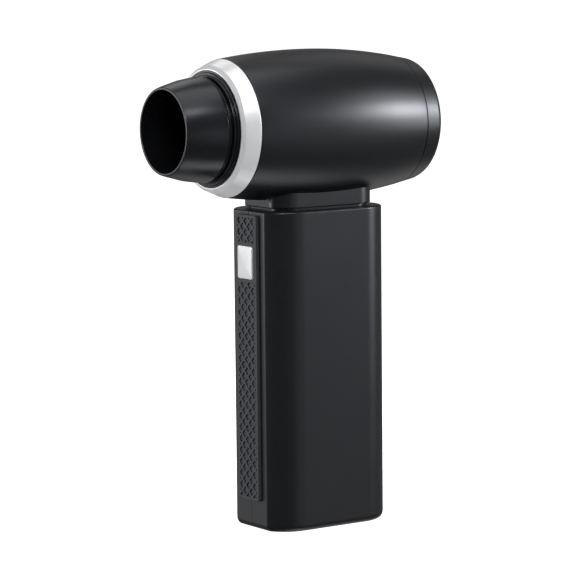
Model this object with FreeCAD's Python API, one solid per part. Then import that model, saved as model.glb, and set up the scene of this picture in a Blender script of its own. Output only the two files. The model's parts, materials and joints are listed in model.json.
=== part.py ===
import FreeCAD, Part
import math
import os

from FreeCAD import Vector

# A hand-held battery blower for drying a car. Millimetres, +Z up, the nozzle points along -Y.
# The origin is the centre of the grip's flat base, which the blower stands on.

# ---------------------------------------------------------------- driving dimensions

# Head: everything here is turned about the fan's axis, which runs along Y at this height.
AXIS_Z = 174.1
BARREL_RADIUS = 32.5
BARREL_WIDEST_Y = -2.3
BARREL_FRONT_Y = -43.9
BARREL_FRONT_RADIUS = 29.6
BARREL_REAR_Y = 43.6
BARREL_REAR_RADIUS = 28.4
BARREL_WALL = 2.2

TRIM_FRONT_Y = -51.6
TRIM_FRONT_RADIUS = 25.5
TRIM_STEP_Y = -50.3
TRIM_STEP_RADIUS = 26.95
TRIM_BORE_RADIUS = 24.95
TRIM_SPIGOT_LENGTH = 4.0

COLLAR_FACE_Y = -53.4
COLLAR_FACE_RADIUS = 23.1
COLLAR_STEP_Y = -52.5
COLLAR_STEP_RADIUS = 24.1
COLLAR_EDGE_Y = -51.7

NOZZLE_FRONT_Y = -74.2
NOZZLE_FRONT_RADIUS = 18.6
NOZZLE_BORE_RADIUS = 17.5
NOZZLE_BULGE_Y = -64.6
NOZZLE_BULGE_RADIUS = 21.8
NOZZLE_BULGE_ROUNDING = 70.0
NOZZLE_EDGE_Y = -55.8
NOZZLE_EDGE_RADIUS = 22.6
NOZZLE_GROOVE_Y = -55.6
NOZZLE_GROOVE_RADIUS = 21.8
NOZZLE_BEAD_Y = -55.0
NOZZLE_BEAD_RADIUS = 22.2
NOZZLE_BEAD_WIDTH = 0.7
NOZZLE_SHOULDER = 0.7
SPIGOT_RADIUS = 20.55
SPIGOT_BORE_RADIUS = 19.0
SPIGOT_END_Y = -41.0
SEAL_GROOVE_Y = -50.0
SEAL_GROOVE_WIDTH = 1.5
SEAL_GROOVE_DEPTH = 0.7
SLIDING_GAP = 0.1

CAP_RIM_Y = 52.7
CAP_RIM_RADIUS = 26.9
CAP_BORE_RADIUS = 25.4
CAP_BORE_DEPTH = 3.8
CAP_SEAM = 0.35

GRILLE_THICKNESS = 2.3
GRILLE_HUB_RADIUS = 5.0
GRILLE_RING_RADII = (9.4, 13.6, 17.8, 22.0)
GRILLE_RIM_INNER_RADIUS = 24.0
GRILLE_BAR = 1.2
GRILLE_SPOKE_COUNT = 12

DUCT_BORE_RADIUS = 24.6
DUCT_WALL = 1.4
DUCT_FRONT_Y = -27.0
DUCT_REAR_Y = 39.4
POD_RADIUS = 14.5
POD_WALL = 1.2
POD_FRONT_Y = -8.0
POD_REAR_Y = 20.5
WEB_FRONT_Y = 18.0
VANE_COUNT = 9
VANE_THICKNESS = 1.2
VANE_FRONT_Y = 2.0
CABLE_VANE_WIDTH = 6.4
DAMPING_RING_WIDTH = 5.0
DAMPING_RING_FRONT_Y = -24.0
DAMPING_RING_REAR_Y = 28.0

# Motor and rotor.
SHAFT_RADIUS = 1.5
SHAFT_REAR_Y = 39.5
BEARING_RADIUS = 3.0
BEARING_WIDTH = 2.5
BEARING_BORE_RADIUS = 1.53
MOUNT_TUBE_RADIUS = 4.0
MOUNT_FRONT_Y = 1.0
MOUNT_FLANGE_RADIUS = 8.6
MOUNT_FLANGE_THICKNESS = 1.8
BELL_OUTER_RADIUS = 12.4
BELL_INNER_RADIUS = 11.4
BELL_FRONT_Y = -2.0
BELL_REAR_Y = 14.0
BELL_END_THICKNESS = 1.6
BELL_BOSS_RADIUS = 3.0
BELL_BOSS_LENGTH = 2.0
MAGNET_COUNT = 12
MAGNET_GAP = 0.6
STATOR_TOOTH_COUNT = 9
STATOR_RADIUS = 9.6
STATOR_FRONT_Y = 2.6
STATOR_REAR_Y = 11.4
STATOR_HUB_RADIUS = 5.4
TOOTH_WIDTH = 1.6
TOOTH_RIM_RADIUS = 8.9
TOOTH_GAP = 1.2
COIL_THICKNESS = 1.2
HUB_RADIUS = 12.5
HUB_FRONT_Y = 22.0
HUB_REAR_Y = 36.0
BLADE_COUNT = 11
BLADE_TIP_RADIUS = 24.2
BLADE_THICKNESS = 1.0
NUT_RADIUS = 4.2
NUT_CROWN_RADIUS = 2.6
NUT_CROWN_HEIGHT = 0.7

# Blade sections from root to tip: radius, pitch angle, chord.
BLADE_SECTIONS = ((HUB_RADIUS - 1.0, 52.0, 14.0), (18.5, 38.0, 15.0), (BLADE_TIP_RADIUS, 28.0, 16.0))

# Grip: a flat-fronted section with large corner arcs, 41 by 62 at its widest.
GRIP_HALF_WIDTH = 20.6
GRIP_FRONT_Y = -31.5
GRIP_REAR_Y = 31.5
GRIP_TOP_Z = 138.5
GRIP_WALL = 2.0
GRIP_FLOOR = 2.2
FRONT_CORNER_RADIUS = 16.7
FRONT_TANGENT_Y = -16.55
REAR_CORNER_RADIUS = 15.2
CREASE_RADIUS = 2.0
BASE_EDGE_RADIUS = 3.2
TOP_EDGE_RADIUS = 0.9
PARTING_GROOVE = 0.12
PARTING_DEPTH = 0.35

# Neck: the grip's own section, set in all round, cut to sit on the barrel.
NECK_INSET = 4.85
NECK_BOTTOM_Z = 139.5
TENON_INSET = 6.6
TENON_GAP = 0.15
TENON_FLANGE_INSET = 3.2
TENON_FLANGE_THICKNESS = 3.0
NECK_EDGE_RADIUS = 0.5
NECK_RISE = 12.0

# Rubber plate on the grip's front face, and the push button in it.
PLATE_HALF_WIDTH = 7.6
PLATE_BOTTOM_Z = 12.9
PLATE_TOP_Z = 136.7
PLATE_FACE_Y = -33.1
PLATE_RECESS = 0.8
PLATE_CORNER_RADIUS = 1.2
PLATE_EDGE_RADIUS = 0.2
LATTICE_PITCH = 5.0
LATTICE_RIB = 0.9
LATTICE_DEPTH = 0.6
LATTICE_BORDER = 1.2

BUTTON_HALF_WIDTH = 5.35
BUTTON_BOTTOM_Z = 109.1
BUTTON_TOP_Z = 123.3
BUTTON_FACE_Y = -34.1
BUTTON_CROWN = 0.7
BUTTON_GAP = 0.25
BUTTON_CORNER_RADIUS = 1.0
BUTTON_WINDOW_RADIUS = 1.2
BUTTON_FLANGE_MARGIN = 1.2
BUTTON_FLANGE_THICKNESS = 1.0
BUTTON_FLANGE_RADIUS = 1.5
BUTTON_TRAVEL = 0.8
PLUNGER_RADIUS = 1.6
SWITCH_HALF_WIDTH = 3.0

# Inside the grip.
CELL_RADIUS = 9.15
CELL_LENGTH = 65.0
CELL_PITCH = 18.5
CELL_BOTTOM_Z = 8.0
CELL_EDGE_RADIUS = 0.8
TRAY_THICKNESS = 1.6
TRAY_CLEARANCE = 0.4
TRAY_WINDOW_RADIUS = 5.5
TRAY_POST_RADIUS = 3.2
TRAY_POST_REACH = 12.0
PAD_THICKNESS = 2.0
PAD_BOTTOM_Z = 36.0
PAD_TOP_Z = 70.0
FRONT_PAD_HALF_WIDTH = 7.0
REAR_PAD_HALF_WIDTH = 4.8
STRIP_WIDTH = 6.0
STRIP_THICKNESS = 0.3
BOARD_THICKNESS = 1.6
BUTTON_BOARD_Y = -24.6
BUTTON_BOARD_HALF_WIDTH = 7.5
BUTTON_BOARD_HALF_HEIGHT = 10.0
CONTROL_BOARD_Y = 14.3
CONTROL_BOARD_HALF_WIDTH = 15.0
CONTROL_BOARD_BOTTOM_Z = 84.0
CONTROL_BOARD_TOP_Z = 128.0
MOSFET_WIDTH = 5.0
MOSFET_HEIGHT = 6.0
MOSFET_THICKNESS = 1.1
MOSFET_SPACING = 8.0
MOSFET_ROWS_Z = (106.0, 114.5)
CAPACITOR_RADIUS = 4.0
CAPACITOR_LENGTH = 12.0
CAPACITOR_X = 6.0
CAPACITOR_Z = 91.5
CHIP_HALF_WIDTH = 4.0
CHIP_Z = 102.0
CHARGE_BOARD_Y = 19.6
CHARGE_BOARD_HALF_WIDTH = 8.0
CHARGE_BOARD_BOTTOM_Z = 10.0
CHARGE_BOARD_TOP_Z = 34.0
SOCKET_Z = 20.0
SOCKET_HALF_WIDTH = 4.47
SOCKET_HALF_HEIGHT = 1.63
SOCKET_SHELL = 0.3
TONGUE_HALF_WIDTH = 3.3
TONGUE_THICKNESS = 0.7
MOTOR_LEAD_Y = 15.1
MOTOR_LEAD_SPACING = 1.5
LEAD_RADIUS = 0.55
LEAD_CLEARANCE = 0.35
BATTERY_LEAD_RADIUS = 0.9
BATTERY_LEAD_BEND = 1.6
SIGNAL_LEAD_RADIUS = 0.4
BUTTON_LEAD_X = 1.2
BUTTON_LEAD_Z = 123.0
CHARGE_LEAD_RADIUS = 0.5
CHARGE_LEAD_BEND = 3.0
CHARGE_LEAD_X = 6.0
CHARGE_LEAD_TOP_Z = 88.0

# Screw places, as (y, z) for the grip's and (x, y) for the neck's.
GRIP_SCREWS = ((-24.2, 30.0), (-24.2, 92.0), (24.6, 50.0), (24.6, 122.0))
NECK_SCREWS = ((-8.0, -13.0), (8.0, -13.0), (-8.0, 8.0), (8.0, 8.0))
MOTOR_SCREW_CIRCLE = 6.2
MOTOR_SCREW_COUNT = 3
MOTOR_SCREW_RADIUS = 0.84
MOTOR_SCREW_HEAD_RADIUS = 1.9
GRIP_SCREW_RADIUS = 1.08
GRIP_SCREW_HEAD_RADIUS = 2.4
GRIP_SCREW_HEAD_HEIGHT = 1.6
GRIP_SCREW_SEAT_DEPTH = 3.6
GRIP_SCREW_TIP_X = 8.5
SCREW_SOCKET_RADIUS = 1.0
SCREW_SOCKET_DEPTH = 0.9
NECK_SCREW_RADIUS = 1.24
NECK_SCREW_HEAD_RADIUS = 2.7
NECK_SCREW_HEAD_HEIGHT = 2.0
NECK_BOSS_RADIUS = 3.2
NECK_BOSS_HEIGHT = 3.6

# ---------------------------------------------------------------- shared geometry

X_AXIS = Vector(1, 0, 0)
Y_AXIS = Vector(0, 1, 0)
Z_AXIS = Vector(0, 0, 1)
AXIS_POINT = Vector(0, 0, AXIS_Z)
WELL_PAST = 5.0
TINY = 0.001
SNUG = 0.05
SLIM_GAP = 0.1
EDGE = 0.3
FINE_EDGE = 0.2
FLANGE_TOP_Z = GRIP_TOP_Z - GRIP_WALL - SLIM_GAP
BUTTON_MIDDLE_Z = (BUTTON_BOTTOM_Z + BUTTON_TOP_Z) / 2
BUTTON_FLANGE_Y = GRIP_FRONT_Y + GRIP_WALL + SNUG


def rounded_wire(corners, place):
    """A closed outline through (u, v, corner radius) points; place makes each one a point in space."""
    arcs = []
    for index, (u, v, radius) in enumerate(corners):
        corner = Vector(u, v, 0)
        before = Vector(*corners[index - 1][:2], 0)
        after = Vector(*corners[(index + 1) % len(corners)][:2], 0)
        back = (before - corner).normalize()
        ahead = (after - corner).normalize()
        half_angle = back.getAngle(ahead) / 2
        reach = radius / math.tan(half_angle)
        to_arc = radius / math.sin(half_angle) - radius
        middle = corner + (back + ahead).normalize() * to_arc
        arcs.append((corner + back * reach, middle, corner + ahead * reach, radius))
    edges = []
    for index, (start, middle, end, radius) in enumerate(arcs):
        if radius:
            edges.append(Part.Arc(place(start), place(middle), place(end)).toShape())
        following = arcs[(index + 1) % len(arcs)][0]
        if (following - end).Length > TINY:
            edges.append(Part.LineSegment(place(end), place(following)).toShape())
    return Part.Wire(edges)


def on_axis_plane(point):
    """(y, radius) in the half plane above the fan's axis."""
    return Vector(0, point.x, AXIS_Z + point.y)


def spun(wire):
    return Part.Face(wire).revolve(AXIS_POINT, Y_AXIS, 360)


def turned(*corners):
    """A body turned about the fan's axis from (y, radius) or (y, radius, rounding) corners."""
    full = [corner if len(corner) == 3 else (*corner, 0) for corner in corners]
    return spun(rounded_wire(full, on_axis_plane))


def tube(inner_radius, outer_radius, start_y, end_y):
    return turned(
        (start_y, inner_radius),
        (start_y, outer_radius),
        (end_y, outer_radius),
        (end_y, inner_radius),
    )


def rod(radius, start, end):
    """A round bar between two points."""
    along = end - start
    return Part.makeCylinder(radius, along.Length, start, along)


def block(low, high):
    size = Vector(*high) - Vector(*low)
    return Part.makeBox(size.x, size.y, size.z, Vector(*low))


def around_axis(shape, count, first_angle=0.0):
    """Copies of a shape, evenly spaced about the fan's axis."""
    copies = []
    for index in range(count):
        copy = shape.copy()
        copy.rotate(AXIS_POINT, Y_AXIS, first_angle + index * 360.0 / count)
        copies.append(copy)
    return copies


def joined(shapes):
    return shapes[0].multiFuse(shapes[1:]).removeSplitter()


def save(name, shape):
    solids = shape.Solids
    result = solids[0] if len(solids) == 1 else Part.makeCompound(solids)
    if not result.isValid():
        print("not valid:", name)
    result.exportStep("parts/" + name + ".step")


# ---------------------------------------------------------------- head


def swell_arc(radius, end_y, end_radius):
    """The arc that leaves the barrel's widest point level and reaches (end_y, end_radius)."""
    run = end_y - BARREL_WIDEST_Y
    drop = radius - end_radius
    bend = (run * run + drop * drop) / (2 * drop)
    half_turn = math.asin(run / bend) / 2
    middle_y = BARREL_WIDEST_Y + bend * math.sin(half_turn)
    middle = Vector(middle_y, radius - bend + bend * math.cos(half_turn))
    points = (Vector(BARREL_WIDEST_Y, radius), middle, Vector(end_y, end_radius))
    return Part.Arc(*[on_axis_plane(point) for point in points]).toShape()


def swelling_body(inset, fill_radius):
    """The barrel's bulged outline, set in by a wall, down to an inner radius (0 fills it)."""
    front = BARREL_FRONT_RADIUS - inset
    rear = BARREL_REAR_RADIUS - inset
    path = [Vector(BARREL_REAR_Y, rear), Vector(BARREL_REAR_Y, fill_radius)]
    path += [Vector(BARREL_FRONT_Y, fill_radius), Vector(BARREL_FRONT_Y, front)]
    placed = [on_axis_plane(point) for point in path]
    edges = [swell_arc(BARREL_RADIUS - inset, BARREL_REAR_Y, rear)]
    edges += [Part.LineSegment(a, b).toShape() for a, b in zip(placed, placed[1:])]
    edges.append(swell_arc(BARREL_RADIUS - inset, BARREL_FRONT_Y, front))
    return spun(Part.Wire(Part.__sortEdges__(edges)))


def make_barrel_shell():
    """The swelling tube, with screw bosses and a lead slot over the neck."""
    outside = swelling_body(0, 0)
    shell = outside.cut(swelling_body(BARREL_WALL, 0))
    inside_z = AXIS_Z - BARREL_RADIUS + BARREL_WALL
    pilot_radius = NECK_SCREW_RADIUS + 0.01
    for x, y in NECK_SCREWS:
        boss_end = Vector(x, y, inside_z + NECK_BOSS_HEIGHT)
        boss = rod(NECK_BOSS_RADIUS, Vector(x, y, inside_z - BARREL_WALL / 2), boss_end)
        shell = shell.fuse(boss.common(outside))
    for x, y in NECK_SCREWS:
        low = Vector(x, y, inside_z - WELL_PAST)
        shell = shell.cut(rod(pilot_radius, low, Vector(x, y, inside_z + WELL_PAST)))
    return shell.cut(lead_slot(inside_z - WELL_PAST, inside_z + WELL_PAST))


def lead_slot(low_z, high_z):
    """The clearance that the three motor leads pass through, between two heights."""
    thick = LEAD_RADIUS + LEAD_CLEARANCE
    half = MOTOR_LEAD_SPACING + thick
    return block((-half, MOTOR_LEAD_Y - thick, low_z), (half, MOTOR_LEAD_Y + thick, high_z))


def make_trim_ring():
    """Silver ring: a narrow bevel, a wide bevel and a spigot that seats inside the barrel."""
    spigot = BARREL_FRONT_RADIUS - BARREL_WALL - SNUG
    spigot_end_y = BARREL_FRONT_Y + TRIM_SPIGOT_LENGTH
    return turned(
        (TRIM_FRONT_Y, TRIM_BORE_RADIUS),
        (TRIM_FRONT_Y, TRIM_FRONT_RADIUS, FINE_EDGE),
        (TRIM_STEP_Y, TRIM_STEP_RADIUS, EDGE),
        (BARREL_FRONT_Y, BARREL_FRONT_RADIUS),
        (BARREL_FRONT_Y, spigot),
        (spigot_end_y, spigot),
        (spigot_end_y, TRIM_BORE_RADIUS),
    )


def make_nozzle_collar():
    """Black stepped ring inside the trim ring; its bore guides the nozzle and narrows the air path."""
    outer = TRIM_BORE_RADIUS - SNUG
    bore = SPIGOT_RADIUS + SLIDING_GAP
    barrel_fit = BARREL_FRONT_RADIUS - BARREL_WALL - SLIM_GAP
    ledge_y = BARREL_FRONT_Y + TRIM_SPIGOT_LENGTH + SLIM_GAP
    stop_y = SPIGOT_END_Y + 0.4
    rear_y = DUCT_FRONT_Y - 0.2
    return turned(
        (COLLAR_FACE_Y, bore),
        (COLLAR_FACE_Y, COLLAR_FACE_RADIUS, EDGE),
        (COLLAR_STEP_Y, COLLAR_FACE_RADIUS),
        (COLLAR_STEP_Y, COLLAR_STEP_RADIUS, EDGE),
        (COLLAR_EDGE_Y, COLLAR_STEP_RADIUS),
        (COLLAR_EDGE_Y, outer, FINE_EDGE),
        (ledge_y, outer),
        (ledge_y, barrel_fit),
        (rear_y, barrel_fit),
        (rear_y, DUCT_BORE_RADIUS),
        (rear_y - 1.3, DUCT_BORE_RADIUS, 4.0),
        (stop_y + 0.6, SPIGOT_BORE_RADIUS, 2.0),
        (stop_y, SPIGOT_BORE_RADIUS),
        (stop_y, bore),
    )


def make_nozzle():
    """Push-fit nozzle: a bulging cone, an edge, a fine bead behind it, and a spigot with a seal groove."""
    shoulder = SPIGOT_RADIUS + NOZZLE_SHOULDER
    bead_end_y = NOZZLE_BEAD_Y + NOZZLE_BEAD_WIDTH
    groove = SPIGOT_RADIUS - SEAL_GROOVE_DEPTH
    groove_end_y = SEAL_GROOVE_Y + SEAL_GROOVE_WIDTH
    return turned(
        (NOZZLE_FRONT_Y, NOZZLE_BORE_RADIUS, EDGE),
        (NOZZLE_FRONT_Y, NOZZLE_FRONT_RADIUS, EDGE + FINE_EDGE),
        (NOZZLE_BULGE_Y, NOZZLE_BULGE_RADIUS, NOZZLE_BULGE_ROUNDING),
        (NOZZLE_EDGE_Y, NOZZLE_EDGE_RADIUS, FINE_EDGE / 2),
        (NOZZLE_GROOVE_Y, NOZZLE_GROOVE_RADIUS),
        (NOZZLE_BEAD_Y, NOZZLE_GROOVE_RADIUS),
        (NOZZLE_BEAD_Y, NOZZLE_BEAD_RADIUS, FINE_EDGE),
        (bead_end_y, NOZZLE_BEAD_RADIUS, FINE_EDGE),
        (bead_end_y, shoulder),
        (COLLAR_FACE_Y, shoulder),
        (COLLAR_FACE_Y, SPIGOT_RADIUS),
        (SEAL_GROOVE_Y, SPIGOT_RADIUS),
        (SEAL_GROOVE_Y, groove),
        (groove_end_y, groove),
        (groove_end_y, SPIGOT_RADIUS),
        (SPIGOT_END_Y, SPIGOT_RADIUS, EDGE),
        (SPIGOT_END_Y, SPIGOT_BORE_RADIUS, EDGE),
        (NOZZLE_BEAD_Y, SPIGOT_BORE_RADIUS, 20.0),
        (NOZZLE_FRONT_Y + 8.0, NOZZLE_BORE_RADIUS, 10.0),
    )


def make_nozzle_seal():
    """Rubber ring in the spigot's groove, which holds the nozzle in its collar by friction."""
    inner = SPIGOT_RADIUS - SEAL_GROOVE_DEPTH + SNUG
    start_y = SEAL_GROOVE_Y + SLIM_GAP
    return tube(inner, SPIGOT_RADIUS + SNUG, start_y, start_y + SEAL_GROOVE_WIDTH - 2 * SLIM_GAP)


def make_rear_cap():
    """Ring behind the barrel's seam, with a rounded rim, a spigot and a bell-shaped intake."""
    seam_y = BARREL_REAR_Y + CAP_SEAM
    spigot = BARREL_REAR_RADIUS - BARREL_WALL - SNUG
    spigot_start_y = DUCT_REAR_Y + 0.2
    spigot_step_y = BARREL_REAR_Y - EDGE
    bore_end_y = CAP_RIM_Y - CAP_BORE_DEPTH
    return turned(
        (seam_y, BARREL_REAR_RADIUS - 0.12, FINE_EDGE),
        (CAP_RIM_Y - 1.6, CAP_RIM_RADIUS + SNUG, 3.0),
        (CAP_RIM_Y, CAP_RIM_RADIUS - 0.7, 1.0),
        (CAP_RIM_Y, CAP_BORE_RADIUS, EDGE),
        (bore_end_y, CAP_BORE_RADIUS),
        (bore_end_y, DUCT_BORE_RADIUS, 0.5),
        (spigot_start_y, DUCT_BORE_RADIUS),
        (spigot_start_y, spigot),
        (spigot_step_y, spigot),
        (spigot_step_y, spigot - 0.4),
        (seam_y, spigot - 0.4),
    )


def make_intake_grille():
    """Disc of rings and spokes that keeps fingers and cloth out of the fan."""
    front = CAP_RIM_Y - CAP_BORE_DEPTH + SLIM_GAP
    rear = front + GRILLE_THICKNESS
    half = GRILLE_BAR / 2
    hub = turned((front, 0), (front, GRILLE_HUB_RADIUS), (rear, GRILLE_HUB_RADIUS, half), (rear, 0))
    rings = [tube(radius - half, radius + half, front, rear) for radius in GRILLE_RING_RADII]
    rings.append(tube(GRILLE_RIM_INNER_RADIUS, CAP_BORE_RADIUS - SNUG, front, rear))
    spoke_low = AXIS_Z + GRILLE_HUB_RADIUS - 1
    spoke = block((-half, front, spoke_low), (half, rear, AXIS_Z + GRILLE_RIM_INNER_RADIUS + half))
    return joined([hub] + rings + around_axis(spoke, GRILLE_SPOKE_COUNT))


def make_fan_duct():
    """The plain tube that the fan turns in, with a slot for the motor leads."""
    outer = DUCT_BORE_RADIUS + DUCT_WALL
    duct = tube(DUCT_BORE_RADIUS, outer, DUCT_FRONT_Y, DUCT_REAR_Y)
    return duct.cut(lead_slot(AXIS_Z - outer - 1, AXIS_Z - DUCT_BORE_RADIUS + 1))


def make_stator_vanes():
    """Straight vanes between the pod and the duct; the lowest is thick and carries the motor leads."""
    low_z = AXIS_Z + POD_RADIUS - POD_WALL / 2
    high_z = AXIS_Z + DUCT_BORE_RADIUS + DUCT_WALL / 2
    rear_y = POD_REAR_Y - 0.5
    half = VANE_THICKNESS / 2
    cable_half = CABLE_VANE_WIDTH / 2
    vane = block((-half, VANE_FRONT_Y, low_z), (half, rear_y, high_z))
    cable_vane = block((-cable_half, VANE_FRONT_Y, low_z), (cable_half, rear_y, high_z))
    cable_vane.rotate(AXIS_POINT, Y_AXIS, 180)
    cable_vane = cable_vane.cut(lead_slot(AXIS_Z - DUCT_BORE_RADIUS - 1, AXIS_Z))
    passage = tube(POD_RADIUS, DUCT_BORE_RADIUS, VANE_FRONT_Y - 1, POD_REAR_Y)
    vanes = around_axis(vane, VANE_COUNT, 180.0)[1:] + [cable_vane]
    return Part.makeCompound([vane.common(passage) for vane in vanes])


def make_motor_pod():
    """Tube round the motor, closed at the back by the web that the motor is screwed to."""
    pod = tube(POD_RADIUS - POD_WALL, POD_RADIUS, POD_FRONT_Y, POD_REAR_Y)
    web = tube(BEARING_RADIUS + POD_WALL, POD_RADIUS - POD_WALL / 2, WEB_FRONT_Y, POD_REAR_Y)
    body = joined([pod, web])
    hole_radius = MOTOR_SCREW_RADIUS + 0.26
    for angle in motor_screw_angles():
        hole = rod(hole_radius, Vector(0, WEB_FRONT_Y - 1, 0), Vector(0, POD_REAR_Y + 1, 0))
        body = body.cut(placed_round_axis(hole, MOTOR_SCREW_CIRCLE, angle))
    return body.cut(lead_slot(AXIS_Z - POD_RADIUS - 1, AXIS_Z - POD_RADIUS + POD_WALL + 1))


def motor_screw_angles():
    return [60.0 + index * 360.0 / MOTOR_SCREW_COUNT for index in range(MOTOR_SCREW_COUNT)]


def placed_round_axis(shape, radius, angle):
    """A shape drawn about the Y axis, moved out to a radius and turned about the fan's axis."""
    moved = shape.copy()
    moved.translate(Vector(0, 0, AXIS_Z + radius))
    moved.rotate(AXIS_POINT, Y_AXIS, angle)
    return moved


def make_tail_cone():
    """Rounded cap that closes the pod and eases the air into the nozzle."""
    spigot = POD_RADIUS - POD_WALL - SNUG
    inside = spigot - 1.0
    spigot_end_y = POD_FRONT_Y + 3.0
    base_y = POD_FRONT_Y - 1.0
    tip_y = POD_FRONT_Y - 22.0
    return turned(
        (spigot_end_y, inside),
        (spigot_end_y, spigot),
        (POD_FRONT_Y, spigot),
        (POD_FRONT_Y, POD_RADIUS),
        (base_y, POD_RADIUS, 8.0),
        (tip_y + 1.0, 6.0, 3.5),
        (tip_y, 0),
        (tip_y + 2.0, 0),
        (base_y, inside, 6.0),
    )


def make_damping_rings():
    """Two soft rings that hold the duct in the barrel."""
    inner = DUCT_BORE_RADIUS + DUCT_WALL
    front_outer = BARREL_FRONT_RADIUS - BARREL_WALL + 0.9
    rear_outer = BARREL_REAR_RADIUS - BARREL_WALL + 1.0
    front_end_y = DAMPING_RING_FRONT_Y + DAMPING_RING_WIDTH
    rear_end_y = DAMPING_RING_REAR_Y + DAMPING_RING_WIDTH
    front = tube(inner, front_outer, DAMPING_RING_FRONT_Y, front_end_y)
    rear = tube(inner, rear_outer, DAMPING_RING_REAR_Y, rear_end_y)
    return Part.makeCompound([front, rear])


# ---------------------------------------------------------------- motor and rotor


def make_motor_mount():
    """Flanged bearing tube that the stator core is pressed on."""
    flange_front = WEB_FRONT_Y - MOUNT_FLANGE_THICKNESS
    mount = turned(
        (WEB_FRONT_Y, BEARING_RADIUS),
        (WEB_FRONT_Y, MOUNT_FLANGE_RADIUS),
        (flange_front, MOUNT_FLANGE_RADIUS),
        (flange_front, MOUNT_TUBE_RADIUS),
        (MOUNT_FRONT_Y, MOUNT_TUBE_RADIUS),
        (MOUNT_FRONT_Y, BEARING_RADIUS),
    )
    thread_radius = MOTOR_SCREW_RADIUS + 0.01
    for angle in motor_screw_angles():
        hole = rod(thread_radius, Vector(0, flange_front - 1, 0), Vector(0, WEB_FRONT_Y + 1, 0))
        mount = mount.cut(placed_round_axis(hole, MOTOR_SCREW_CIRCLE, angle))
    return mount


def make_motor_bearings():
    front_y = MOUNT_FRONT_Y + FINE_EDGE
    front = tube(BEARING_BORE_RADIUS, BEARING_RADIUS, front_y, front_y + BEARING_WIDTH)
    rear = tube(BEARING_BORE_RADIUS, BEARING_RADIUS, WEB_FRONT_Y - BEARING_WIDTH, WEB_FRONT_Y)
    return Part.makeCompound([front, rear])


def make_motor_screws():
    """Three screws through the pod's web into the motor mount."""
    front_y = WEB_FRONT_Y - MOUNT_FLANGE_THICKNESS
    head = rod(MOTOR_SCREW_HEAD_RADIUS, Vector(0, POD_REAR_Y, 0), Vector(0, POD_REAR_Y + 1.1, 0))
    shank = rod(MOTOR_SCREW_RADIUS, Vector(0, front_y, 0), Vector(0, POD_REAR_Y + SLIM_GAP, 0))
    screw = head.fuse(shank)
    screws = [placed_round_axis(screw, MOTOR_SCREW_CIRCLE, angle) for angle in motor_screw_angles()]
    return Part.makeCompound(screws)


def make_stator_core():
    """Laminated core with one T-shaped tooth for each winding."""
    half = TOOTH_WIDTH / 2
    half_gap = TOOTH_GAP / 2
    root_z = AXIS_Z + STATOR_HUB_RADIUS - 0.4
    hub = tube(MOUNT_TUBE_RADIUS, STATOR_HUB_RADIUS, STATOR_FRONT_Y, STATOR_REAR_Y)
    tooth_end = (half, STATOR_REAR_Y, AXIS_Z + TOOTH_RIM_RADIUS + EDGE)
    tooth = block((-half, STATOR_FRONT_Y, root_z), tooth_end)
    rim = tube(TOOTH_RIM_RADIUS, STATOR_RADIUS, STATOR_FRONT_Y, STATOR_REAR_Y)
    gap_low = (-half_gap, STATOR_FRONT_Y - 1, AXIS_Z + TOOTH_RIM_RADIUS - 1)
    gap = block(gap_low, (half_gap, STATOR_REAR_Y + 1, AXIS_Z + STATOR_RADIUS + 1))
    half_step = 180.0 / STATOR_TOOTH_COUNT
    for slot in around_axis(gap, STATOR_TOOTH_COUNT, half_step):
        rim = rim.cut(slot)
    return joined([hub, rim] + around_axis(tooth, STATOR_TOOTH_COUNT))


def make_stator_windings():
    """A copper coil round each tooth."""
    inner_half = TOOTH_WIDTH / 2 + 0.02
    outer_half = inner_half + 0.63
    low_z = AXIS_Z + STATOR_HUB_RADIUS + EDGE
    high_z = AXIS_Z + TOOTH_RIM_RADIUS - FINE_EDGE
    front_y = STATOR_FRONT_Y - COIL_THICKNESS
    outer = block((-outer_half, front_y, low_z), (outer_half, STATOR_REAR_Y + COIL_THICKNESS, high_z))
    inner = block((-inner_half, STATOR_FRONT_Y, low_z - 1), (inner_half, STATOR_REAR_Y, high_z + 1))
    return Part.makeCompound(around_axis(outer.cut(inner), STATOR_TOOTH_COUNT))


def make_rotor_bell():
    """Steel can that turns round the stator, closed at the front and fixed to the shaft."""
    boss_y = BELL_FRONT_Y - BELL_BOSS_LENGTH
    inside_y = BELL_FRONT_Y + BELL_END_THICKNESS
    return turned(
        (BELL_REAR_Y, BELL_INNER_RADIUS),
        (BELL_REAR_Y, BELL_OUTER_RADIUS),
        (BELL_FRONT_Y, BELL_OUTER_RADIUS, 0.6),
        (BELL_FRONT_Y, BELL_BOSS_RADIUS),
        (boss_y, BELL_BOSS_RADIUS),
        (boss_y, SHAFT_RADIUS),
        (inside_y, SHAFT_RADIUS),
        (inside_y, BELL_INNER_RADIUS),
    )


def make_rotor_magnets():
    """Flat magnets in a ring on the bell's inside, a thin gap between neighbours."""
    half = MAGNET_GAP / 2
    ring = tube(STATOR_RADIUS + 0.5, BELL_INNER_RADIUS, BELL_FRONT_Y + 3.0, BELL_REAR_Y - 1.0)
    gap_low = (-half, BELL_FRONT_Y, AXIS_Z + STATOR_RADIUS)
    gap = block(gap_low, (half, BELL_REAR_Y, AXIS_Z + BELL_OUTER_RADIUS))
    for slot in around_axis(gap, MAGNET_COUNT):
        ring = ring.cut(slot)
    return ring


def make_motor_shaft():
    front_y = BELL_FRONT_Y - BELL_BOSS_LENGTH
    return turned(
        (front_y, 0),
        (front_y, SHAFT_RADIUS, EDGE),
        (SHAFT_REAR_Y, SHAFT_RADIUS, EDGE),
        (SHAFT_REAR_Y, 0),
    )


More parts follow.
